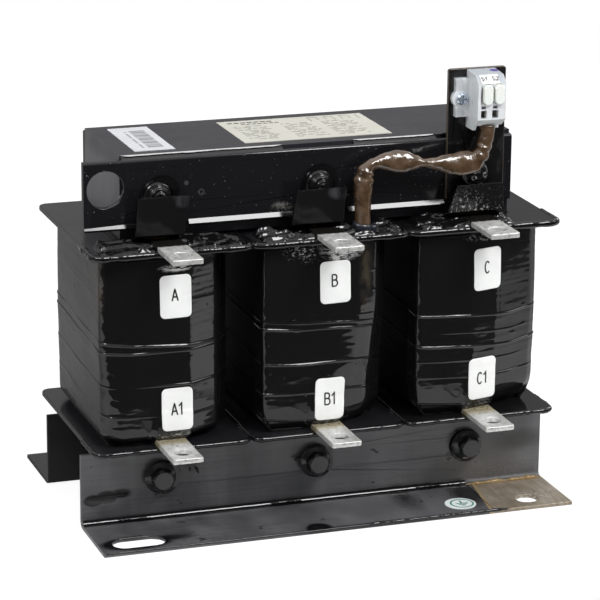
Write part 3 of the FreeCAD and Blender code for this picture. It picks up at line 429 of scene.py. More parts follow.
def block_material():
    """Light grey plastic with painted shade on its top faces and in the end plate's recesses and slots, and its
    coloured dot drawn in.
    """
    s = Shader("block_plastic", rough=0.4, scatter=0.03)
    # Painted shade: darker grey in the end plate's recesses, near black in its slots, darker on faces that point up.
    recess_shade = s.spots(((68.8, -40, 208.2), (2.6, 9, 3.2), 0.2), ((69.0, -40, 194.4), (2.6, 9, 2.6), 0.2))
    slot_shade = s.spots(((74.9, -45.0, 200.2), (1.4, 0.9, 2.6), 0.2), ((75.4, -50.5, 205), (0.6, 6, 4.6), 0.2),
                    ((81.3, -50.5, 205), (0.45, 6, 4.6), 0.2))
    color = s.layers(s.noise(120.0, 3.0).ramp((0.3, (0.67, 0.69, 0.71)), (0.7, (0.74, 0.76, 0.78))),
                     (s.axis("Z", "NewGeometry", "Normal").range(0.15, 0.8), (0.40, 0.43, 0.46)),
                     (recess_shade * 0.5, (0.30, 0.31, 0.33)), (slot_shade * 0.85, (0.02, 0.02, 0.022)),
                     (s.spot((86.0, -41.0, 214.6), (2.3, 2.0, 1.2), 0.25), (0.06, 0.03, 0.25)))
    return s.set(color=color, normal=s.bump(s.noise(1400.0, 2.0), 0.00003))


def patchy(name, color, dark, grain, ends, rough):
    """Even colour with slightly darker patches."""
    s = Shader(name, rough=rough)
    return s.set(color=s.noise(*grain).ramp((ends[0], shade(color, dark)), (ends[1], color)))


def vinyl(name, color, rough):
    """Label stock."""
    s = patchy(name, color, 0.93, (60.0, 4.0, 0.6), (0.35, 0.65), rough)
    return s.set(normal=s.bump(s.noise(350.0, 2.0), 0.00006))


def grained(name, grain, height, **inputs):
    """Plain plastic or board with a fine grain."""
    s = Shader(name, **inputs)
    return s.set(normal=s.bump(s.noise(*grain), height))


def plated(name, color, metal, rough):
    """Plated metal of uneven gloss."""
    s = Shader(name, color=color, metal=metal)
    return s.set(rough=s.noise(400.0, 3.0).range(0.3, 0.7, *rough))


# Title, colour, roughness, height and scale of the waves
VARNISHES = {
    # The third coil's formers: a darker, less reflective copy of the former plastic, as painted shade.
    "flange_right": ("former_plastic_shaded", BLACK, (0.1, 0.2), 0.0002, 35.0),
    "flange": ("former_plastic", (0.012, 0.012, 0.014), (0.1, 0.25), 0.0003, 35.0),
    "fastener": ("varnished_fastener", (0.017, 0.017, 0.019), (0.10, 0.22), 0.0004, 220.0),
    "washer": ("varnished_washer", WET_BLACK, (0.04, 0.12), 0.0003, 160.0),
    "gold": ("golden_varnish", (0.26, 0.17, 0.07), (0.15, 0.3), 0.0006, 260.0),
    "lip": ("lip_varnish", BLACK, (0.12, 0.16), 0.0, 30.0),
}
VINYLS = {
    "white": ("white_vinyl", (0.91, 0.92, 0.91), 0.38), "cream": ("cream_vinyl", (0.62, 0.61, 0.54), 0.4),
    "earth": ("green_white_vinyl", (0.76, 0.81, 0.82), 0.4), "code": ("code_vinyl", (0.68, 0.69, 0.71), 0.4),
}
INKS = {
    "ink": ("black_ink", (0.012, 0.012, 0.013)), "grey_ink": ("grey_ink", (0.20, 0.20, 0.22)),
    "faint_ink": ("faint_ink", (0.09, 0.09, 0.08)), "green_ink": ("green_ink", (0.02, 0.19, 0.10)),
}


def make_materials():
    """Every material by name."""
    made = {
        "tape": tape_material(), "paint": clamp_material(), "plate": plate_material(), "pool": pool_material(),
        "foot_front": front_foot_material(), "foot_rear": rear_foot_material(), "board": board_material(),
        "wet_board": wet_board_material(), "core": core_material(), "bar": bar_material(),
        "sleeve": sleeve_material(), "block": block_material(),
        # Painted shade: a darker, duller copy of the tape for the faces between coils.
        "shade": Shader("black_tape_painted_shade", color=0.003, rough=0.6, level=0.06),
        "amber": Shader("amber_varnish", color=(0.06, 0.036, 0.010), rough=0.3, coat=0.3, coat_rough=0.1),
        "button": grained("button_plastic", (900.0, 2.0), 0.00003, color=(0.88, 0.88, 0.82), rough=0.35, scatter=0.1),
        "nylon": grained("black_nylon", (500.0, 2.0), 0.0002, color=(0.013, 0.015, 0.024), rough=0.3, coat=0.5,
                         coat_rough=0.06),
        "insulator": grained("insulating_board", (500.0, 3.0), 0.0001, color=(0.012, 0.010, 0.008), rough=0.4),
        "copper": plated("tinned_copper", (0.6, 0.58, 0.55), 1.0, (0.2, 0.4)),
    }
    zinc = made["zinc"] = plated("blue_zinc", (0.62, 0.70, 0.80), 0.8, (0.15, 0.3))
    zinc.set(normal=zinc.bump(zinc.noise(600.0, 3.0), 0.00008))
    made |= {key: varnish(*row) for key, row in VARNISHES.items()}
    # Painted shade: lower reflection on the third coil's formers.
    made["flange_right"].set(level=0.16)
    made |= {key: vinyl(*row) for key, row in VINYLS.items()}
    made |= {key: patchy(*row, 0.8, (500.0, 2.0), (0.3, 0.7), 0.5) for key, row in INKS.items()}
    return {name: shader.material for name, shader in made.items()}


MATERIALS = make_materials()
# CAD pieces of each material, by the starts of their names
NODE_MATERIALS = {
    "paint": "clamp_bar_",
    "plate": "terminal_plate",
    "foot_front": "foot_bracket_front",
    "foot_rear": "foot_bracket_rear",
    "core": "yoke_lower yoke_upper limb_",
    "flange": "former_a former_b",
    "flange_right": "former_c",
    "tape": "tape_wrap_ winding_",
    "bar": "terminal_a terminal_b terminal_c",
    "board": "insulating_flap_",
    "fastener": "lower_core_bolts upper_core_bolts core_nuts",
    "washer": "steel_washers insulating_washers",
    "insulator": "bolt_sleeves gap_spacers thermal_switch",
    "white": "label_ marker_strip",
    "code": "code_label",
    "cream": "rating_label",
    "earth": "earth_label",
    "block": "block_housing block_end_plate",
    "button": "release_button_",
    "zinc": "block_screw",
    "copper": "block_contacts",
    "sleeve": "lead_sleeve",
    "nylon": "cable_tie",
}
# Radius of the small rounded edges of rigid CAD pieces, in millimetres, and their segments
ROUNDED = {
    (0.35, 2): "foot_bracket_ clamp_bar_ terminal_plate",
    (0.6, 3): "former_",
    (0.15, 2): "block_housing block_end_plate marker_strip",
}


def paint(thing, material):
    """One material on the whole piece."""
    thing.data.materials.clear()
    thing.data.materials.append(MATERIALS[material])


def pieces(starts):
    """CAD pieces whose names start with one of several words."""
    return [thing for name, thing in NODES.items() if name.startswith(tuple(starts.split()))]


def round_edges(thing, width, segments):
    """Small rounded edges on a CAD piece."""
    thing.modifiers.new("weld", "WELD").merge_threshold = 0.002 * MM
    bevel = thing.modifiers.new("round", "BEVEL")
    bevel.width = width * MM
    bevel.segments = segments
    bevel.limit_method = "ANGLE"
    bevel.angle_limit = math.radians(32)
    bevel.use_clamp_overlap = False
    bevel.harden_normals = True


for material_name, name_starts in NODE_MATERIALS.items():
    for piece in pieces(name_starts):
        paint(piece, material_name)
for (edge_width, edge_segments), name_starts in ROUNDED.items():
    for piece in pieces(name_starts):
        round_edges(piece, edge_width, edge_segments)


# Mesh helpers: sizes in millimetres
def mesh_piece(name, points, faces, material, smooth=True):
    """Mesh object from points in millimetres, riding on the chassis."""
    data = bpy.data.meshes.new(name)
    data.from_pydata((np.asarray(points, float) * MM).tolist(), [], [list(f) for f in faces])
    data.validate()
    for polygon in data.polygons:
        polygon.use_smooth = smooth
    made = add_object(name, data)
    paint(made, material)
    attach(made, "chassis")
    return made


def grid_faces(rows, columns, closed):
    """Quads of a grid of rows by columns, closed round along its columns or open."""
    pairs = [(c, (c + 1) % columns) for c in range(columns if closed else columns - 1)]
    return [(r * columns + a, r * columns + b, (r + 1) * columns + b, (r + 1) * columns + a)
            for r in range(rows - 1) for a, b in pairs]


def shifted(faces, by):
    """The same faces for points further on in the list."""
    return [tuple(k + by for k in face) for face in faces]


def end_caps(rings, around):
    """Faces that close a tube's first and last ring."""
    return [tuple(reversed(range(around))), tuple(range((rings - 1) * around, rings * around))]


def angles(count):
    """Even angles of a full turn."""
    return [2 * math.pi * k / count for k in range(count)]


def distances(line):
    """Distance along a line at each of its points."""
    return np.concatenate([[0], np.cumsum(np.linalg.norm(np.diff(line, axis=0), axis=1))])


def heading(line, n):
    """Direction of a line at one of its points."""
    return Vector(line[min(n + 1, len(line) - 1)] - line[max(n - 1, 0)]).normalized()


def resample(line, at):
    """Points of a line at distances along it."""
    return np.stack([np.interp(at, distances(line), line[:, k]) for k in range(line.shape[1])], 1)


def smooth(value, low, high):
    """Soft step from 0 at low to 1 at high."""
    t = np.clip((value - low) / (high - low), 0, 1)
    return t * t * (3 - 2 * t)


def lump(*at):
    """Noise at a point."""
    return noise.noise(Vector(at))


# Lead sleeve: a free cord from the middle coil to the terminal block
SLEEVE_ROUTE = [
    (17.4, -46.5, 140.5), (17.5, -46.4, 150.0), (17.5, -46.0, 160.0), (18.6, -45.0, 170.5), (24.0, -43.6, 174.0),
    (36.7, -43.3, 173.6), (46.5, -43.5, 172.2), (56.0, -45.0, 171.3), (66.5, -47.5, 170.9), (76.5, -48.2, 172.5),
    (80.4, -46.6, 181.0), (81.2, -45.9, 189.0),
]
SLEEVE_STEPS, SLEEVE_AROUND = 24, 56
SLEEVE_VIEW = Vector((-0.31, -0.91, 0.28))
# Half sizes of the sleeve in the picture's plane and across it, at places along it, all in millimetres
SLEEVE_FORM = np.array([
    (0, 4.0, 3.6), (8, 3.8, 3.6), (18, 4.1, 3.5), (25, 4.7, 3.3), (29, 4.1, 3.5), (32, 2.9, 3.8), (36, 2.9, 3.7),
    (41, 4.3, 3.1), (46, 5.4, 2.6), (50, 5.4, 2.6), (54, 4.2, 3.2), (58, 2.5, 4.3), (61, 2.4, 4.4), (66, 3.3, 3.9),
    (72, 4.8, 3.1), (78, 5.9, 2.6), (83, 5.7, 2.8), (87, 4.2, 3.5), (92, 3.5, 3.8), (97, 3.7, 3.7), (103, 4.0, 3.6),
])
# Creases at the bends: height, rate along the sleeve, slant, place and reach
SLEEVE_CREASES = ((0.38, 1.3, 1.2, 28, 4.5), (0.20, 1.1, 1.6, 60, 6.0), (0.26, 1.4, 2, 93, 6.0))
# Cable tie: middle and (radius, height) section of its band; middle, half sizes and (share, height) layers of its head
TIE_AT, TIE_AROUND = Vector((17.4, -46.6, 143.4)), 48
TIE_SECTION = ((4.35, -1.7), (4.75, -1.5), (4.85, 0.0), (4.75, 1.5), (4.35, 1.7), (3.6, 1.7), (3.6, -1.7))
HEAD_AT, HEAD_AROUND, HEAD_HALF = TIE_AT + Vector((4.9, -1.2, -1.0)), 16, (1.5, 2.1)
HEAD_LAYERS = ((0.8, -2.0), (1.0, -1.7), (1.0, 1.6), (0.8, 1.9))


def route_line(points, steps):
    """Points along a NURBS spline that has the route as its control points."""
    data = bpy.data.curves.new("route", "CURVE")
    data.dimensions = "3D"
    data.resolution_u = steps
    spline = data.splines.new("NURBS")
    spline.points.add(len(points) - 1)
    for point, at in zip(spline.points, points):
        point.co = (*(Vector(at) * MM), 1)
    spline.order_u = 3
    spline.use_endpoint_u = True
    holder = add_object("route", data)
    line = bpy.data.meshes.new_from_object(holder)
    found = np.array([v.co for v in line.vertices]) / MM
    bpy.data.objects.remove(holder)
    bpy.data.meshes.remove(line)
    return found


def add_sleeve():
    """Flattened and wrinkled tube along the route."""
    line = route_line(SLEEVE_ROUTE, SLEEVE_STEPS)
    along = distances(line)
    length, around = along[-1], SLEEVE_AROUND
    points = []
    for n, (centre, at) in enumerate(zip(line, along)):
        ahead = heading(line, n)
        side = SLEEVE_VIEW.cross(ahead).normalized()
        depth = ahead.cross(side)
        share = at * SLEEVE_FORM[-1, 0] / length
        wide, thin = (np.interp(share, SLEEVE_FORM[:, 0], SLEEVE_FORM[:, k]) for k in (1, 2))
        for a in angles(around):
            out = side * (wide * math.cos(a)) + depth * (thin * math.sin(a))
            here = Vector(centre) + out
            crease = 0.28 * noise.noise(here * 0.22) + 0.13 * noise.noise(here * 0.6)
            for height, rate, slant, place, reach in SLEEVE_CREASES:
                crease += height * math.sin(at * rate + slant * math.sin(a)) * math.exp(-((at - place) / reach) ** 2)
            points.append(here + out.normalized() * crease)
    faces = grid_faces(len(line), around, True) + end_caps(len(line), around)
    made = mesh_piece("switch_lead_sleeve", points, faces, "sleeve")
    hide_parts("lead_sleeve")
    add_cable_tie()


def add_cable_tie():
    """Drooping band round the sleeve's foot with a small head at its right."""
    points = []
    for a in angles(TIE_AROUND):
        droop = -0.9 * math.cos(a) - 0.25 * math.sin(2 * a)
        points += [TIE_AT + Vector((r * math.cos(a), 0.93 * r * math.sin(a), z + droop)) for r, z in TIE_SECTION]
    size, n = len(TIE_SECTION), len(points)
    faces = grid_faces(TIE_AROUND, size, True)
    faces += [(n - size + c, n - size + (c + 1) % size, (c + 1) % size, c) for c in range(size)]

    def bulge(value):
        return math.copysign(abs(value) ** 0.5, value)
    for share, lift in HEAD_LAYERS:
        wide, deep = (share * half for half in HEAD_HALF)
        points += [HEAD_AT + Vector((wide * bulge(math.cos(a)), deep * bulge(math.sin(a)), lift))
                   for a in angles(HEAD_AROUND)]
    layers = len(HEAD_LAYERS)
    faces += shifted(grid_faces(layers, HEAD_AROUND, True) + end_caps(layers, HEAD_AROUND), n)
    made = mesh_piece("tie_band", points, faces, "nylon")
    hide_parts("cable_tie")
    return made


add_sleeve()

# Coil wraps
LIMBS = {"a": -79.0, "b": 0.0, "c": 79.0}
COIL_X = 33.2
COIL_Y = 50.5
WRAP_LOW = 44.05
WRAP_HIGH = 137.95
BACK_ROUND = 15.5
CORE_HALF = (24, 35)
WRAP_POINTS, WRAP_ROWS = 256, 380
# Heights between which the outline below turns into the one above, and how far the tape may stand out
OUTLINE_BLEND = (58, 112)
TAPE_LIMIT = 0.75
# Faces between two coils that see no light, which get a darker, duller copy of the tape as painted shade: least share
# of their normal along X, and reach in depth in metres
SHADED_SIDE, SHADED_REACH = 0.8, 0.038
# Share of the turn at the corners, starting at the middle of the back, and how the tape's edge runs there
TURN_KNOTS = np.array((0.0, 0.1, 0.4, 0.58, 0.68, 0.9, 1.0))
EDGE_RUN = np.array((5.0, 2.4, 0.0, -3.4, -2.0, -7.0, -9.0))


def rounded_path(corners, count):
    """Points, normals and share of the turn round a coil's outline, which is a polygon with round corners.

    Each corner is (x, y, radius) from the limb's axis. The path starts at the middle of the back and goes left.
    """
    ring = [np.array(corner[:2], float) for corner in corners]
    dense = [(0.0, COIL_Y)]
    for n, (here, (_, _, radius)) in enumerate(zip(ring, corners)):
        back, ahead = (arm / np.linalg.norm(arm) for arm in (ring[n - 1] - here, ring[(n + 1) % len(ring)] - here))
        half = math.acos(np.clip(back @ ahead, -1, 1)) / 2
        inward = (back + ahead) / np.linalg.norm(back + ahead)
        centre = here + inward * radius / math.sin(half)
        first = math.atan2(*(here + back * radius / math.tan(half) - centre)[::-1])
        dense += [centre + radius * np.array([math.cos(first + step), math.sin(first + step)])
                  for step in np.linspace(0, math.pi - 2 * half, 13)]
    dense = np.array(dense + dense[:1])
    share = np.arange(count) / count
    x, y = resample(dense, share * distances(dense)[-1]).T
    tx, ty = (np.roll(v, -1) - np.roll(v, 1) for v in (x, y))
    size = np.hypot(tx, ty)
    return np.stack([x, y, ty / size, -tx / size, share], 1)


def unit_square(count):
    """Points round a square of half size 1, from the middle of the back and going left."""
    corners = np.array([(0, 1), (-1, 1), (-1, -1), (1, -1), (1, 1), (0, 1)], float)
    share = np.arange(count) / count
    return np.stack([np.interp(share, (0.0, 0.1, 0.4, 0.6, 0.9, 1.0), corners[:, k]) for k in (0, 1)], 1)


def field(points, scale, seed):
    """Noise at each point, with scales along X, Y and Z in features a millimetre."""
    factors = np.array(scale)
    return np.array([noise.noise(Vector(p * factors) + Vector((seed, seed * 1.7, -seed))) for p in points])


def tape_ledges(here, turn, turns, seed):
    """Height of the tape's overlapping turns.

    Each turn is (height at the front left corner, drop across the front, fade, ledge).
    """
    z = here[:, 2]
    wobble = field(here, (0.03, 0.03, 0.012), seed) * 1.3
    found = np.zeros(len(z))
    for start, drop, fade, height in turns:
        run = np.interp(turn, TURN_KNOTS, EDGE_RUN * np.where(TURN_KNOTS > 0.45, drop / 3.4, 1.0))
        level = z - start - run - wobble
        worn = fade * np.clip(0.7 + 0.9 * field(here, (0.045, 0.045, 0.01), seed + start), 0.1, 1)
        step = (1 - smooth(level, -0.15, 0.35)) * smooth(level, -14.0, -0.5)
        bead = np.exp(-((level + 0.2) / 0.45) ** 2)
        found += worn * (height * 0.42 * step + height * 0.74 * bead)
    return found


def tape_tuck(x, z, front, corner, turn, seed, hem):
    """Depth of the tucks at the flanges, the gathered hem of a given height and its pleats."""
    low = smooth(hem - (z - WRAP_LOW), 0, hem)
    high = smooth(3.0 - (WRAP_HIGH - z), 0, 3.0)
    foot = smooth(5.5 - (z - WRAP_LOW), 0, 5.5) ** 1.4 * 2.0
    pleat = np.sin(turn * 230 + seed) * 0.07 * low
    gathered = (2.4 + 2.6 * corner) * (1 - 0.7 * front * (1 - smooth(np.abs(x), 7, 12)))
    return low ** 1.8 * gathered + high * 1.2 + foot, pleat


def add_wrap(name, seed, outlines, barrel, sag, hem, turns):
    """Taped and varnished coil: overlapping turns, a tuck at each flange, sags and fine ripples.

    Its front has an outline above and one below.
    """
    count, rows, place = WRAP_POINTS, WRAP_ROWS, LIMBS[name]
    high_ring, low_ring = (rounded_path([(-COIL_X, COIL_Y, BACK_ROUND), *outline, (COIL_X, COIL_Y, BACK_ROUND)], count)
                           for outline in outlines)
    heights = np.linspace(WRAP_LOW, WRAP_HIGH, rows)
    share = np.repeat(smooth(heights, *OUTLINE_BLEND), count)
    x, y, nx, ny, turn = (np.tile(low, rows) * (1 - share) + np.tile(high, rows) * share
                          for low, high in zip(low_ring.T, high_ring.T))
    size = np.hypot(nx, ny)
    nx, ny = nx / size, ny / size
    z = np.repeat(heights, count)
    here = np.stack([place + x, y, z], 1)
    corner = np.clip(np.abs(nx * ny) * 2, 0, 1)
    front = smooth(-ny, 0.3, 0.9)
    left_front = np.clip(-nx * 2 - 0.1, 0, 1) * np.clip(-ny * 3, 0, 1)

    ledge = tape_ledges(here, turn, turns, seed)
    bend = -barrel * ((z - (WRAP_LOW + WRAP_HIGH) / 2 - 4) / 47.0) ** 2
    crown = 0.3 * (1 - (x / COIL_X) ** 2) * (np.abs(ny) > 0.97) + 0.5 * (1 - (y / COIL_Y) ** 2) * (np.abs(nx) > 0.97)
    ripple = field(here, (0.012, 0.012, 0.5), seed + 5) * (0.018 + 0.03 * (1 - front) + 0.02 * corner)
    torn = field(here, (0.16, 0.16, 0.22), seed + 21) * 0.55 * left_front * corner
    grain = field(here, (0.3, 0.3, 0.9), seed + 9) * 0.006
    waves = field(here, (0.022, 0.022, 0.055), seed + 13) * sag
    dents = smooth(field(here, (0.22, 0.22, 0.3), seed + 17), 0.62, 0.8) * 0.2
    leg = front * (1 - smooth(np.abs(x), 6.5, 10.5)) * (1 - smooth(z, 52, 62)) * 0.8
    tuck, pleat = tape_tuck(x, z, front, corner, turn, seed, hem)
    out = bend + crown + ledge + ripple + torn + grain + waves + dents + leg - tuck - 0.35 + pleat
    out = np.minimum(out, TAPE_LIMIT)

    inner = unit_square(count) * CORE_HALF + (place, 0)
    base, top = (np.column_stack([inner, np.full(count, level)]) for level in (WRAP_LOW, WRAP_HIGH))
    points = np.concatenate([base, np.stack([place + x + nx * out, y + ny * out, z], 1), top, base])
    made = mesh_piece("coil_wrap_" + name, points, grid_faces(rows + 3, count, True), "tape")
    # Painted shade: faces towards the neighbour coil take the darker, duller copy of the tape.
    made.data.materials.append(MATERIALS["shade"])
    for polygon in made.data.polygons:
        inside = polygon.normal.x if name != "c" else -polygon.normal.x
        other = name == "b" and polygon.normal.x < -SHADED_SIDE
        if (inside > SHADED_SIDE or other) and abs(polygon.center.y) < SHADED_REACH:
            polygon.material_index = 1
    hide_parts("tape_wrap_" + name, "winding_" + name)
    return made


WRAP_C_OUTLINE = [(-34.0, -50.3, 2.6), (-4.8, -50.5, 4), (11.0, -46.6, 4), (31.2, -38.2, 5), (35.2, -34.5, 3)]
WRAPS = {
    "a": add_wrap("a", 3.0, (
        [(-34.2, -44.8, 3.5), (-20.0, -50.0, 10), (8.7, -50.5, 4), (25.0, -42.0, 5), (33.2, -30.6, 8)],
        [(-33.6, -50.3, 9.0), (-12.0, -50.5, 10), (9.5, -50.5, 4), (25.0, -42.4, 5), (33.2, -31.0, 8)],
    ), 0.25, 0.22, 8.0, [
        (96.2, 3.4, 1.0, 0.5), (91.6, 0.6, 1.0, 0.5), (75.2, 0.8, 0.9, 0.45), (60.6, 1.6, 0.8, 0.4),
        (117.0, 2.0, 0.3, 0.3)]),
    "b": add_wrap("b", 11.0, (
        [(-34.0, -50.3, 2.4), (16.0, -50.5, 14), (26.0, -46.5, 12), (33.2, -38.0, 8)],
        [(-34.0, -50.3, 2.4), (1.5, -50.5, 22), (21.0, -45.4, 14), (33.2, -35.0, 9)],
    ), 0.5, 0.3, 14.0, [
        (100.6, 3.6, 1.0, 0.5), (97.3, 3.0, 1.0, 0.5), (79.9, 2.6, 0.9, 0.5), (65.0, 2.4, 0.9, 0.45),
        (103.5, 3.0, 0.35, 0.3), (52.2, 6.0, 1.0, 0.55)]),
    "c": add_wrap("c", 27.0, (WRAP_C_OUTLINE, WRAP_C_OUTLINE), 0.7, 0.45, 16.0, [
        (97.2, 4.3, 1.0, 0.5), (81.9, 4.4, 1.0, 0.5), (88.5, 3.8, 0.45, 0.35), (65.8, 3.0, 0.9, 0.5),
        (74.0, 3.0, 0.5, 0.4), (52.0, 5.0, 0.8, 0.5)]),
}


def front_surface(name):
    """Function that gives the wrap's front Y, in millimetres, at an X and a height."""
    wrap = WRAPS[name].data
    tree = BVHTree.FromPolygons([v.co for v in wrap.vertices], [p.vertices for p in wrap.polygons])

    def at(x, z):
        hit = tree.ray_cast(Vector((x * MM, -0.2, z * MM)), Vector((0, 1, 0)))[0]
        return hit.y / MM if hit else -COIL_Y
    return at


# Letters as pen strokes in a unit box
def bow(centre, half, first, last, count=9):
    """Arc of an ellipse between two angles."""
    return [(centre[0] + half[0] * math.cos(a), centre[1] + half[1] * math.sin(a))
            for a in np.linspace(first, last, count)]


QUARTER = math.pi / 2
GLYPHS = {
    "A": [[(0, 0), (0.5, 1), (1, 0)], [(0.17, 0.33), (0.83, 0.33)]],
    "B": [[(0.05, 0), (0.05, 1)], [(0.05, 1)] + bow((0.5, 0.765), (0.38, 0.235), QUARTER, -QUARTER) + [(0.05, 0.53)],
          [(0.05, 0.53)] + bow((0.52, 0.265), (0.45, 0.265), QUARTER, -QUARTER) + [(0.05, 0)]],
    "C": [bow((0.52, 0.5), (0.46, 0.5), 0.75, 2 * math.pi - 0.75, 19)],
    "1": [[(0.1, 0.74), (0.55, 1), (0.55, 0)]],
    "2": [bow((0.5, 0.7), (-0.45, 0.3), 0.1, math.pi + 0.4) + [(0.05, 0), (0.98, 0)]],
    "S": [bow((0.5, 0.75), (0.43, 0.25), 0.5, 1.5 * math.pi)
          + bow((0.5, 0.25), (0.45, 0.25), QUARTER, -0.85 * math.pi)[1:]],
}


def ribbon(line, width):
    """Points and quads of a flat pen stroke along a line of (x, y)."""
    line = np.array(line, float)
    step = np.diff(line, axis=0)
    step /= np.linalg.norm(step, axis=1)[:, None]
    line[0] -= step[0] * width * 0.1
    line[-1] += step[-1] * width * 0.1
    before, after = np.vstack([step[:1], step]), np.vstack([step, step[-1:]])
    across = np.stack([-(before + after)[:, 1], (before + after)[:, 0]], 1)
    normal = np.stack([-before[:, 1], before[:, 0]], 1)
    across /= np.maximum(np.sum(across * normal, axis=1), 0.35)[:, None]
    n = len(line)
    return (np.concatenate([line + across * width / 2, line - across * width / 2]),
            [(k, n + k, n + k + 1, k + 1) for k in range(n - 1)])


def add_ribbons(name, strokes, width, lay, material):
    """Flat pen strokes; lay puts a flat (x, y) in its place in millimetres."""
    points, faces = [], []
    for stroke in strokes:
        found, quads = ribbon(stroke, width)
        faces += shifted(quads, len(points))
        points += [lay(*p) for p in found]
    return mesh_piece(name, points, faces, material, smooth=False)


def finer(line, step):
    """The same line with its points no further apart than a step."""
    found = [line[0]]
    for here, there in zip(line, line[1:]):
        parts = max(math.ceil(math.dist(here, there) / step), 1)
        found += [tuple(a + (b - a) * k / parts for a, b in zip(here, there)) for k in range(1, parts + 1)]
    return found


def add_text(name, text, size, pen, spread, lay):
    """Letters of a given (width, height), a given distance apart."""
    start = -(len(text) - 1) * spread / 2 - size[0] / 2
    strokes = [finer([(start + n * spread + x * size[0], (y - 0.5) * size[1]) for x, y in stroke], 0.5)
               for n, letter in enumerate(text) for stroke in GLYPHS.get(letter, [])]
    add_ribbons(name, strokes, pen, lay, "ink")


def rounded_card(size, radius, count=88):
    """Evenly spaced outline of a card with round corners, from its lower right corner and counter-clockwise."""
    ring = []
    for n, (sx, sy) in enumerate(((1, -1), (1, 1), (-1, 1), (-1, -1))):
        x, y = sx * (size[0] / 2 - radius), sy * (size[1] / 2 - radius)
        ring += [(x + radius * math.cos(a), y + radius * math.sin(a))
                 for a in np.linspace(-math.pi / 2, 0, 9) + n * math.pi / 2]
    ring = np.array(ring + ring[:1])
    return resample(ring, np.arange(count) / count * distances(ring)[-1])


# Coil labels: middle on the taped front, tilt in degrees and letters
LABELS = {
    "a": ((-77.3, 117.6), 1.0, "A"), "a1": ((-76.7, 61.9), 0.6, "A1"), "b": ((2.6, 118.0), 1.2, "B"),
    "b1": ((0.6, 59.4), -1.2, "B1"), "c": ((82.2, 117.6), 0.6, "C"), "c1": ((80.6, 62.0), 0.0, "C1"),
}
LABEL_SIZE = (15.4, 21.0)
LABEL_ROUND = 2.4
LABEL_THICK = 0.22
LABEL_RINGS = (1.0, 0.995, 0.94, 0.86, 0.76, 0.66, 0.56, 0.46, 0.36, 0.26, 0.16, 0.07)
LABEL_SKIRT, LABEL_SUNK = 1.002, 0.2
# (width, height), pen and spread of the letters on the coils and on the terminal block
COIL_LETTERS = ((2.85, 5.75), 0.74, 3.4)
MARKER_LETTERS = ((1.3, 2.2), 0.34, 1.85)


def add_coil_label(name, middle, tilt, text):
    """Sticker that follows the taped front, with its letters."""
    surface = front_surface(name[0])
    turn = math.radians(tilt)

    def place(x, z, lift):
        px = middle[0] + x * math.cos(turn) - z * math.sin(turn)
        pz = middle[1] + x * math.sin(turn) + z * math.cos(turn)
        near = [surface(px + dx, pz + dz) for dx in (-1.2, -0.4, 0.4, 1.2) for dz in (-1.6, -0.8, 0, 0.8, 1.6)]
        return (px, min(near) - lift, pz)

    outline = rounded_card(LABEL_SIZE, LABEL_ROUND)
    points = [place(x * LABEL_SKIRT, z * LABEL_SKIRT, -LABEL_SUNK) for x, z in outline]
    for share in LABEL_RINGS:
        lift = LABEL_THICK - (0.05 if share == 1.0 else 0)
        points += [place(x * share, z * share, lift) for x, z in outline]
    rings, around = len(LABEL_RINGS) + 1, len(outline)
    faces = grid_faces(rings, around, True) + end_caps(rings, around)[1:]
    made = mesh_piece("coil_label_" + name, points, faces, "white")
    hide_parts("label_" + name)
    dx, dz = (-0.4, 0.9) if len(text) == 1 else (0.2, 0.1)
    add_text("letter_" + name, text, *COIL_LETTERS, lambda x, z: place(x + dx, z + dz, LABEL_THICK + 0.09))


for label_name, label_facts in LABELS.items():
    add_coil_label(label_name, *label_facts)


# Varnish that has run together: beads along joints, pools on the flanges, drops over the bolt heads
CLAMP_LOW, CLAMP_TOP = box("clamp_bar_front")
YOKE_TOP = box("yoke_upper")[1]
FORMER_LOW, FORMER_HIGH = (corner.z for corner in box("former_a"))
FOOT_FACE = -35.0
FOOT_TOP = 2.0
FLANGE_FACE = -53.0
BEAD_SIDES, BEAD_STEP = 10, 0.7
STRIP_STEP = 0.8
POOL_STEPS, POOL_DEPTH, POOL_RISE, POOL_CELL = (0.45, 0.33), (-53.4, -35.2), 1.5, 11.0


def add_bead(name, route, radius, seed, rough, material="pool"):
    """Lumpy tube along a route in millimetres, thin at both ends."""
    line = np.array(route, float)
    length = distances(line)[-1]
    at = np.linspace(0, length, max(int(length / BEAD_STEP), 6))
    centre = resample(line, at)
    points = []
    for n, (here, far) in enumerate(zip(centre, at)):
        ahead = heading(centre, n)
        side = ahead.cross(Vector((0.2, -0.9, 0.4))).normalized()
        up = side.cross(ahead)
        swell = 1 + rough * 2 * lump(far * 0.16, seed, 0) + rough * lump(far * 0.55, seed, 5)
        size = radius * max(swell, 0.3) * min(1.0, 0.15 + min(far, length - far) / (2.5 * radius))
        points += [Vector(here) + side * (size * math.cos(a)) + up * (size * math.sin(a)) for a in angles(BEAD_SIDES)]
    faces = grid_faces(len(at), BEAD_SIDES, True) + end_caps(len(at), BEAD_SIDES)
    return mesh_piece(name, points, faces, material)


def add_strip(name, reach, section, material="pool", smooth_faces=False):
    """Open skin along X; section gives its (y, z) points in millimetres at an X."""
    places = np.arange(reach[0], reach[1] + STRIP_STEP / 2, STRIP_STEP)
    rows = [section(x) for x in places]
    points = [(x, y, z) for x, row in zip(places, rows) for y, z in row]
    mesh_piece(name, points, grid_faces(len(places), len(rows[0]), False), material, smooth=smooth_faces)


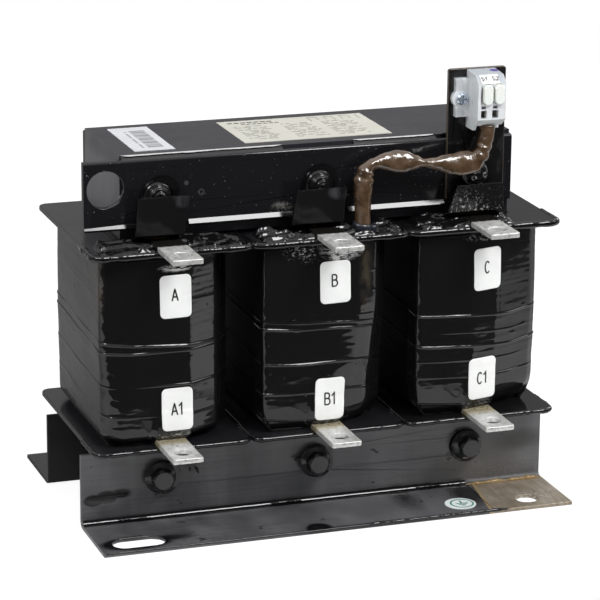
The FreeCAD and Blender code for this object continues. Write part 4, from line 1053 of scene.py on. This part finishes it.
def foot_bend(x):
    """Fillet of varnish in the foot's inner bend."""
    rest = np.interp(x, (45, 70), (0.12, 1.0))
    radius = np.interp(x, (-119, 56, 80, 119), (2.5, 2.5, 1.7, 1.2))
    radius += 0.14 * lump(x * 0.05, 1, 0.3) + 0.5 * rest * lump(x * 0.3, 2, 0.3)
    return [(FOOT_FACE - radius * (1 - math.sin(a)) - 0.02, FOOT_TOP + radius * (1 - math.cos(a)) + 0.02)
            for a in np.linspace(0, math.pi / 2, 9)]


def clamp_lip(x):
    """Flat lip of varnish on the clamp bar's lower front edge, thin at its left end."""
    wide = np.interp(x, (-117.4, -95, -60, 99), (0.9, 1.7, 2.0, 2.0))
    face, base, edge = CLAMP_LOW.y, CLAMP_LOW.z + 0.7, 0.64 * wide
    return [(face - 0.02, base + wide + 0.2), (face - 0.10, base + wide), (face - 0.10 - edge, base),
            (face - 0.20 - edge, base - 0.45), (face - 0.5 * wide, base - 1.0), (face + 0.3, base - 1.2)]


JOINT_ENDS = (-98.5, -18.5, 17.4, 60.2)


def yoke_joint(x):
    """Narrow sloping fillet of varnish between the clamp bar's top and the yoke."""
    wide = 0.52 * (1 + 0.3 * lump(x * 0.06, 7, 0.3) + 0.25 * lump(x * 0.4, 8, 0.3))
    wide *= smooth(min(abs(x - end) for end in JOINT_ENDS), -1, 4)
    back, high, edge = CLAMP_LOW.y + 4.0, YOKE_TOP.z + 0.25, 0.68 * wide
    return [(back + 0.5, high - 0.1), (back, high), (back - edge, high - wide), (back - edge - 0.1, high - wide - 0.5),
            (back - 1.6, CLAMP_TOP.z + 0.25), (back - 2.4, CLAMP_TOP.z - 0.02)]


def flange_edge(limb, z, left, right):
    """Route along a flange's front edge with its two rounded corners."""
    face, turn = FLANGE_FACE, 5.0
    arc = [(turn * (1 - math.cos(a)), turn * (1 - math.sin(a))) for a in np.linspace(0, math.pi / 2, 7)]
    return [(limb + left, face + 26, z)] + [(limb + left + dx, face + dy, z) for dx, dy in arc] + [
        (limb + right - dx, face + dy, z) for dx, dy in reversed(arc)] + [(limb + right, face + 26, z)]


def add_pool(name, x_range, seed):
    """Lumpy varnish on a flange: flat cells between raised strings, rising towards the clamp bar."""
    near_y, far_y = POOL_DEPTH
    columns, rows = (int((ends[1] - ends[0]) / step) for ends, step in zip((x_range, POOL_DEPTH), POOL_STEPS))
    points = []
    for y in np.linspace(near_y, far_y, rows):
        back = smooth(y, near_y + 5, far_y)
        for x in np.linspace(*x_range, columns):
            bent = 0.25 * noise.noise(Vector((x, y, seed)) * 0.13)
            at = Vector((x / (POOL_CELL * 1.4) + bent, y / (POOL_CELL * 0.8) + bent, seed))
            near, where = noise.voronoi(at)
            ridge = math.exp(-((near[1] - near[0]) / 0.085) ** 2) * (0.5 + 0.5 * (noise.cell(where[0] * 5) > 0))
            flat = (at - where[0]).dot(noise.cell_vector(where[0] * 7.3)) * 2.2
            fine = 0.12 * noise.noise(Vector((x, y, seed)) * 0.4)
            ends = min(smooth(x - x_range[0], 0, 3.0), smooth(x_range[1] - x, 0, 3.0), smooth(y - near_y, 0, 1.6))
            height = (0.8 + 1.5 * ridge + 0.8 * flat + fine + POOL_RISE * back ** 2) * ends - 0.15
            points.append((x, y, FORMER_HIGH + max(height, -0.15)))
    mesh_piece(name, points, grid_faces(rows, columns, False), "pool")


# Straight beads: name, route, radius, seed, roughness and material
FOOT_BEADS = (
    ("foot_bend_gold", [(78.0, -37.2, 2.2), (119.4, -37.2, 2.2)], 0.95, 41, 0.6, "gold"),
    ("foot_edge", [(-119.4, -75.0, 1.75), (14, -75.0, 1.75)], 0.42, 31, 0.04),
    ("foot_edge_lumps", [(13, -75.0, 1.9), (86, -75.0, 1.9)], 0.75, 32, 0.4),
)
JOINT_BEADS = (
    ("yoke_joint_bead", [(62, -31.4, 182.4), (96, -31.4, 182.4)], 0.8, 3, 0.1),
    ("foot_drip_1", [(-12.5, -35.3, 24.2), (-8.0, -35.5, 25.2)], 1.1, 20, 0.3),
    ("foot_drip_2", [(-66.0, -35.3, 27.0), (-65.8, -35.4, 24.0)], 0.6, 21, 0.3),
    ("foot_drip_3", [(-63.2, -35.3, 26.6), (-61.4, -35.5, 22.6)], 0.75, 22, 0.3),
)
add_strip("foot_bend_varnish", (-119.6, 79.0), foot_bend, smooth_faces=True)
for bead_facts in FOOT_BEADS:
    add_bead(*bead_facts)
for number, lip_reach in enumerate(((-117.4, -91.0), (-66.3, -14.3), (13.2, 63.5))):
    add_strip("clamp_lip_%d" % (number + 1), lip_reach, clamp_lip, "lip")
for number, joint_reach in enumerate((JOINT_ENDS[:2], JOINT_ENDS[2:])):
    add_strip("yoke_joint_%d" % (number + 1), joint_reach, yoke_joint)
for bead_facts in JOINT_BEADS:
    add_bead(*bead_facts)
for limb_name, limb_x in LIMBS.items():
    flange_left, flange_right = (corner.x / MM - limb_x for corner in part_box("former_" + limb_name))
    for side_name, edge_z, bead_radius, bead_seed, bead_rough in (
            ("upper", FORMER_HIGH - 1.2, 1.75, limb_x, 0.2 if limb_name != "c" else 0.08),
            ("lower", FORMER_LOW + 1.3, 1.25, limb_x + 5, 0.12)):
        edge_route = flange_edge(limb_x, edge_z, flange_left + 0.3, flange_right - 0.3)
        add_bead("%s_flange_bead_%s" % (side_name, limb_name), edge_route, bead_radius, bead_seed, bead_rough)
for limb_name, limb_x in LIMBS.items():
    pool_reach = (limb_x - 35, limb_x + (37.5 if limb_name != "c" else 16))
    add_pool("flange_pool_" + limb_name, pool_reach, limb_x * 0.1 + 2)


# Core bolts: from their far ends to the clamp's face, then the radius and height above it of a flange with a
# hexagon head, and of a head below a drop of varnish
BOLT_BACK, BOLT_FACE = 44.0, -35.2
BOLT_AROUND = 60
HEX_FORM = (
    (5.4, 0.0), (7.9, 0.2), (7.9, 1.0), (7.3, 1.5), (5.6, 2.2), (5.4, 2.4), (5.9, 2.5), (5.9, 6.6), (5.5, 6.75),
    (4.6, 7.35), (4.3, 7.4), (3.2, 7.4), (2.1, 7.4), (1.0, 7.4), (0.05, 7.4),
)
DROP_FORM = [(7.0 * math.cos(share * math.pi / 2) ** 0.75 + 0.24 * math.sin(share * 29) * (1 - share),
              8.8 * math.sin(share * math.pi / 2) ** 0.9 + 0.24 * math.sin(share * 29 + 1.2))
             for share in np.linspace(0, 0.995, 46)]
HEX_WIDTH, HEX_START = 10.0, 2.3
# The three marks in a head: their angles and distance about a point beside the head's middle, width and depth
MARK_ANGLES, MARK_REACH, MARK_SHIFT = (1.57, 3.67, 5.76), 2.6, 0.5
MARK_WIDTH, MARK_DEPTH = 0.7, 0.5


def bolt_ring(x, z, y, radius, hexagon, seed, marked):
    """One ring of a bolt: a hexagon where its head is, or the round of a drop with marks sunk into it."""
    ring = []
    for a in angles(BOLT_AROUND):
        reach = radius
        if hexagon and y < BOLT_FACE - HEX_START:
            reach = min(radius, HEX_WIDTH / 2 / math.cos((a + 0.3) % (math.pi / 3) - math.pi / 6))
        elif not hexagon:
            reach *= 1 + 0.03 * noise.noise(Vector((math.cos(a), math.sin(a), seed + y * 0.2)) * 1.4)
        dx, dz = reach * math.cos(a), reach * math.sin(a)
        sunk = 0
        if radius < 5.5 and y < BOLT_FACE - 3:
            gaps = [math.dist((dx, dz), (MARK_REACH * math.cos(b) + MARK_SHIFT, MARK_REACH * math.sin(b)))
                    for b in MARK_ANGLES]
            sunk = MARK_DEPTH * (sum(math.exp(-(gap / MARK_WIDTH) ** 2) for gap in gaps) * marked)
        ring.append((x + dx, y - sunk, z + dz))
    return ring


def add_bolts(name, node, material, form, hexagon, places):
    """A row of core bolts; each place is (x, z, seed, how far the marks of its head show)."""
    points, faces = [], []
    levels = [(4.0, BOLT_BACK), (4.0, BOLT_FACE)] + [(radius, BOLT_FACE - height) for radius, height in form]
    for x, z, seed, marked in places:
        faces += shifted(grid_faces(len(levels), BOLT_AROUND, True) + end_caps(2, BOLT_AROUND)[:1], len(points))
        for radius, y in levels:
            points += bolt_ring(x, z, y, radius, hexagon, seed, marked)
    made = mesh_piece(name, points, faces, material, smooth=not hexagon)
    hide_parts(node)


UPPER_BOLT_Z, LOWER_BOLT_Z = 163.9, 23.0
add_bolts("upper_bolts", "upper_core_bolts", "pool", DROP_FORM, False,
          [(-82.6, UPPER_BOLT_Z, 3.0, 0.6), (-2.1, UPPER_BOLT_Z, 8.0, 1.0), (78.0, UPPER_BOLT_Z, 5.0, 1.4)])
add_bolts("lower_bolts", "lower_core_bolts", "fastener", HEX_FORM, True,
          [(x, LOWER_BOLT_Z, 2.0, 0.0) for x in (-81.0, -1.6, 78.8)])


# Bar terminals: punched lugs with worn edges, and legs inside the coils
BAR_WIDTH = 14.9
BAR_THICK = 2.5
BAR_SHIFT = -0.8
UPPER_BAR_Z, LOWER_BAR_Z = 143.3, 46.6
BAR_HOLE = 4.2
BAR_TIP, BAR_ROOT, BAR_ROOT_BELOW, BAR_HOLE_Y = -79.4, -44.2, -36.2, -69.4
LEG_CORNERS = ((-1, -45.0), (1, -45.0), (1, -43.4), (-1, -43.4))
LEG_FACES = ((0, 1, 5, 4), (1, 2, 6, 5), (2, 3, 7, 6), (3, 0, 4, 7), (3, 2, 1, 0), (4, 5, 6, 7))


def add_bar(node, x, top, up):
    """One bar: rings from its hole over its top, round its edge and back below it; its leg goes up or down."""
    root = BAR_ROOT if up else BAR_ROOT_BELOW
    middle = (BAR_TIP + root) / 2
    card = rounded_card((BAR_WIDTH, root - BAR_TIP), 0.9, 160)
    centre = np.array([0.0, BAR_HOLE_Y - middle])
    reach = np.linalg.norm(card - centre, axis=1)[:, None]
    ray = (card - centre) / reach
    hole, low = BAR_HOLE, -BAR_THICK
    rings = [(hole, low + 0.3), (hole, -0.4), (hole + 0.15, -0.1), (hole + 0.5, 0.0)]
    rings += [(hole + (reach - hole) * share, 0.0) for share in (0.25, 0.45, 0.65, 0.82)]
    rings += [(reach - 0.45, 0.0), (reach - 0.14, -0.1), (reach, -0.35), (reach, low + 0.35),
              (reach - 0.14, low + 0.1), (reach - 0.45, low), (hole + 0.4, low)]
    points = []
    for far, z in rings:
        for (px, py), (across, _) in zip(centre + ray * far, ray):
            worn = 0.10 * lump(px * 0.5, py * 0.5, x + z)
            points.append((x + px * (1 - 0.012 * worn) + 0.8 * worn * across * (far is reach), py + middle,
                           top + z + worn))
    count, n = len(card), len(points)
    faces = [tuple(reversed(face)) for face in grid_faces(len(rings), count, True)]
    faces += [(k, (k + 1) % count, n - count + (k + 1) % count, n - count + k) for k in range(count)]
    box_low, box_high = box(node)
    ends = (top - BAR_THICK + 0.2, box_high.z) if up else (box_low.z, top - 0.2)
    points += [(x + side * 7.2, y, z) for z in ends for side, y in LEG_CORNERS]
    made = mesh_piece("bar_" + node, points, faces + shifted(LEG_FACES, n), "bar")
    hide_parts(node)


for limb_name, limb_x in LIMBS.items():
    add_bar("terminal_" + limb_name, limb_x + BAR_SHIFT, UPPER_BAR_Z, False)
    add_bar("terminal_%s1" % limb_name, limb_x + BAR_SHIFT, LOWER_BAR_Z, True)


# Insulating flaps, folded over the roots of the upper bars
FLAP_COLUMNS, FLAP_ROWS, FLAP_TREAD = 48, 50, 9
FLAP_BASE, FLAP_FOOT, FLAP_FACE, FLAP_BACK = FORMER_HIGH + 2.7, FORMER_HIGH + 5.9, -45.0, -36.3
FLAP_THICK = 0.5
# X ranges at the foot and at the top, top, curl, crumples, seed and material
FLAPS = {
    "a": ((-95.3, -71.0), (-93.9, -69.1), 165.0, 1.3, (0.14, 0.03, 0.0), 2.0, "board"),
    "b": ((-18.0, 8.5), (-15.4, 9.5), 163.2, 1.3, (0.14, 0.03, 0.0), 6.0, "board"),
    "c": ((62.0, 91.5), (66.6, 90.7), 159.6, 0.4, (0.3, 0.16, 0.03), 9.0, "wet_board"),
}


def flap_points(low, high, top, curl, crumple, seed):
    """Front and back of an upright board whose foot lies on the bar."""
    points = []
    for side in (0, 1):
        for r in range(FLAP_ROWS):
            rise = max(r - FLAP_TREAD, 0) / (FLAP_ROWS - 1 - FLAP_TREAD)
            slope = min(r / FLAP_TREAD, 1.0)
            left, right = (low[k] + (high[k] - low[k]) * rise for k in (0, 1))
            for c in range(FLAP_COLUMNS):
                part = c / (FLAP_COLUMNS - 1)
                x = left + (right - left) * part
                z = FLAP_BASE + (FLAP_FOOT - FLAP_BASE) * slope ** 1.3 + (top - FLAP_FOOT) * rise
                at = Vector((x, z, seed))
                move = sum(height * noise.noise(at * scale) for height, scale in zip(crumple, (0.08, 0.3, 0.9)))
                bent = curl * smooth(part, 0.62, 1.0) * smooth(rise, 0.55, 1.0)
                bent += 0.5 * curl * smooth(part, 0.12, 0.0) * rise
                y = FLAP_BACK + (FLAP_FACE - FLAP_BACK) * slope - 0.1 * rise - (move + bent) * min(slope + 0.2, 1)
                points.append((x, y + side * FLAP_THICK, z + 0.35 * lump(x * 0.3, seed, 1) * rise))
    return points


def add_flap(name, low, high, top, curl, crumple, seed, material):
    """Board on the bar in front of a bolt head, with a line of varnish at its fold."""
    columns, rows, size = FLAP_COLUMNS, FLAP_ROWS, FLAP_COLUMNS * FLAP_ROWS
    faces = grid_faces(rows, columns, False)
    faces += [tuple(reversed(face)) for face in shifted(faces, size)]
    rim = [*range(columns - 1), *range(columns - 1, size - 1, columns), *range(size - 1, size - columns, -1),
           *range(size - columns, 0, -columns)]
    faces += [(a, b, b + size, a + size) for a, b in zip(rim, rim[1:] + rim[:1])]
    made = mesh_piece("flap_" + name, flap_points(low, high, top, curl, crumple, seed), faces, material)
    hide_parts("insulating_flap_" + name)
    middle = (low[0] + low[1]) / 2
    fold = [(middle - 6.0, -37.6, 143.5), (middle + 7.0, -37.6, 143.5)]
    add_bead("flap_line_" + name, fold, 0.3, seed, 0.25, "amber")


for flap_name, flap_facts in FLAPS.items():
    add_flap(flap_name, *flap_facts)


# Print on the labels and the earth sticker
LABEL_TOP = YOKE_TOP.z + 0.27
RATING_ROWS, RATING_STEP, RATING_COLUMNS = 12, 2.5, (5.0, 29.0, 50.0)


def add_marks(name, boxes, material):
    """Flat printed marks on the yoke's labels: each is (x, y, width, depth) in millimetres."""
    points = [(x + dx, y + dy, LABEL_TOP) for x, y, width, depth in boxes
              for dx, dy in ((0, 0), (width, 0), (width, depth), (0, depth))]
    mesh_piece(name, points, [range(n, n + 4) for n in range(0, len(points), 4)], material, smooth=False)


def print_code():
    """Bars and a line of small print on the code label."""
    low, high = box("code_label")
    bars, y = [], low.y + 5.5
    while y < high.y - 8:
        n = len(bars)
        bars.append((low.x + 8.6, y, 7.6, (0.45, 0.9, 0.45, 1.5, 0.6)[n * 3 % 5]))
        y += bars[-1][3] + (0.6, 1.1, 0.45, 0.8)[n * 5 % 4]
    add_marks("code_bars", bars, "grey_ink")
    letters = [(low.x + 5.6, low.y + 6 + k * 1.9, 1.1, 1.2) for k in range(18) if k % 6 != 4]
    add_marks("code_print", letters, "grey_ink")


def print_rating():
    """Rows of short dashes in three columns, with a heavier head line and a plain diagram."""
    low, high = box("rating_label")
    dashes, heavy = [], []
    for row in range(RATING_ROWS):
        for column, start in enumerate(RATING_COLUMNS):
            x = low.x + start
            for word in range(4):
                wide = 1.6 + (row * 7 + column * 5 + word * 11) % 5 * 0.8
                if (row * 3 + column * 2 + word * 5) % 7 < 5:
                    dashes.append((x, high.y - 13.0 - row * RATING_STEP, wide, 0.75))
                x += wide + 0.9
    for word in range(7):
        heavy += [(low.x + 4 + word * 3.4, high.y - 5.6, 2.6, 1.6), (low.x + 10 + word * 2.9, high.y - 9.0, 2.1, 1.3)]
    curves = [(low.x + 46 + n * 4.2, high.y - 10.5 + (n % 3), 0.35, 8.0 - (n % 3) * 1.5) for n in range(7)]
    curves += [(low.x + 46 + n * 8.4, high.y - 3.0, 4.2, 0.5) for n in range(3)]
    add_marks("rating_print", dashes, "faint_ink")
    add_marks("rating_head", heavy, "ink")
    add_marks("rating_diagram", curves, "faint_ink")


def add_earth_sign():
    """Green ring with the earth symbol on the foot's sticker."""
    low, high = box("earth_label")
    half, middle = (high - low) / 2, (low + high) / 2
    middle.x += 0.8
    x, y = middle.x, middle.y
    strokes = [bow((x, y), (half.x - 2.2, half.y - 2.2), 0, 2 * math.pi, 49), [(x, y + 3.6), (x, y)]]
    strokes += [[(x - wide, y - drop), (x + wide, y - drop)] for wide, drop in ((3.2, 0.0), (2.1, 1.4), (1.0, 2.8))]
    add_ribbons("earth_sign", strokes, 0.9, lambda px, py: (px, py, high.z + 0.03), "green_ink")


def print_marker():
    """S1 S2 along the block's sloping marker strip."""
    low, high = box("marker_strip")
    rise = Vector((0, high.y - low.y, high.z - low.z)).normalized()
    out = Vector((0, -rise.z, rise.y))
    middle = (low + high) / 2
    add_text("marker_print", "S1 S2", *MARKER_LETTERS,
             lambda x, z: middle + Vector((x, 0, 0)) + rise * z + out * 0.8)


print_code()
print_rating()
add_earth_sign()
print_marker()


# Floor, world and lamps
LAMP_DISTANCE = 1.6
LAMP_AIM = Vector((0, 0, 0.1))
# Azimuth and elevation in degrees, width and height in metres, radiance
LAMPS = {
    "lamp_key": (28, 49, 0.6, 0.5, 18), "lamp_left": (-62, 45, 0.4, 0.4, 12.5),
    "lamp_right": (74, 36, 0.45, 0.8, 3), "lamp_back": (128, 24, 0.6, 0.4, 4),
}


def add_floor():
    """White table that ends in front of the object; the camera sees it as white with the object's shadow.

    Behind the object it turns darker for every other ray, as a studio's table does away from its lamps.
    """
    data = bpy.data.meshes.new("floor")
    data.from_pydata([(-0.9, -0.19, 0), (0.9, -0.19, 0), (0.9, 0.9, 0), (-0.9, 0.9, 0)], [], [(0, 1, 2, 3)])
    s = Shader("floor")
    s.tree.nodes.clear()
    camera_ray = s.node("LightPath", output="Is Camera Ray")
    far = s.axis("Y").range(-0.03, 0.10) | s.axis("X").range(0.28, 0.42, 0.0, 0.7)
    tone = s.mix(far * (1.0 - camera_ray), 0.86, 0.30)
    s.close("Material", s.node("MixShader", (camera_ray * 0.75, s.node("BsdfDiffuse", {"Color": tone}),
                                             s.node("Emission", {"Strength": 1.2}))))
    data.materials.append(s.material)
    add_object("floor", data)


def add_world():
    """White background to camera and transmission rays; above, a grey studio, dim towards the front."""
    world = bpy.context.scene.world = bpy.data.worlds.new("world")
    world.use_nodes = True
    g = Graph(world.node_tree)
    g.tree.nodes.clear()

    def levels(axis, *stops):
        """Level by a ray's direction along an axis, from (direction, level) stops."""
        where = g.axis(axis, "TexCoord", "Generated").range(-1.0, 1.0)
        return where.ramp(*(((at + 1.0) / 2.0, level) for at, level in stops))

    def blend(share, a, b):
        return g.node("Mix", {"Factor": share, "A": a, "B": b}, data_type="FLOAT")

    depth = levels("Y", (-1.0, 0.05), (-0.55, 0.07), (0.2, 0.22), (1.0, 0.3))
    above = levels("Z", (-1.0, 0.0), (0.3, 0.0), (0.75, 0.7), (1.0, 0.9))
    behind = levels("Y", (-1.0, 0.0), (0.0, 0.0), (0.25, 1.0))
    low = levels("Z", (-1.0, 1.0), (-0.12, 1.0), (0.06, 0.0))
    camera, bright, diffuse = (g.node("LightPath", output="Is %s Ray" % kind)
                               for kind in ("Camera", "Transmission", "Diffuse"))
    level = blend(camera | bright, blend(diffuse, depth + above | behind * low, 0.5), 1.0)
    g.close("World", g.node("Background", {"Strength": level, "Color": 1}))


def add_lamp(name, azimuth, elevation, width, tall, level):
    """Soft box of a given radiance that faces the object."""
    data = bpy.data.lights.new(name, "AREA")
    data.shape = "RECTANGLE"
    data.size, data.size_y = width, tall
    data.energy = level * math.pi * width * tall
    made = add_object(name, data)
    a, e = math.radians(azimuth), math.radians(elevation)
    away = Vector((math.sin(a) * math.cos(e), -math.cos(a) * math.cos(e), math.sin(e)))
    made.location = LAMP_AIM + away * LAMP_DISTANCE
    made.rotation_mode = "QUATERNION"
    made.rotation_quaternion = (LAMP_AIM - made.location).to_track_quat("-Z", "Y")


add_floor()
add_world()
for lamp_name, lamp_facts in LAMPS.items():
    add_lamp(lamp_name, *lamp_facts)
bpy.context.scene.view_settings.view_transform = "Standard"
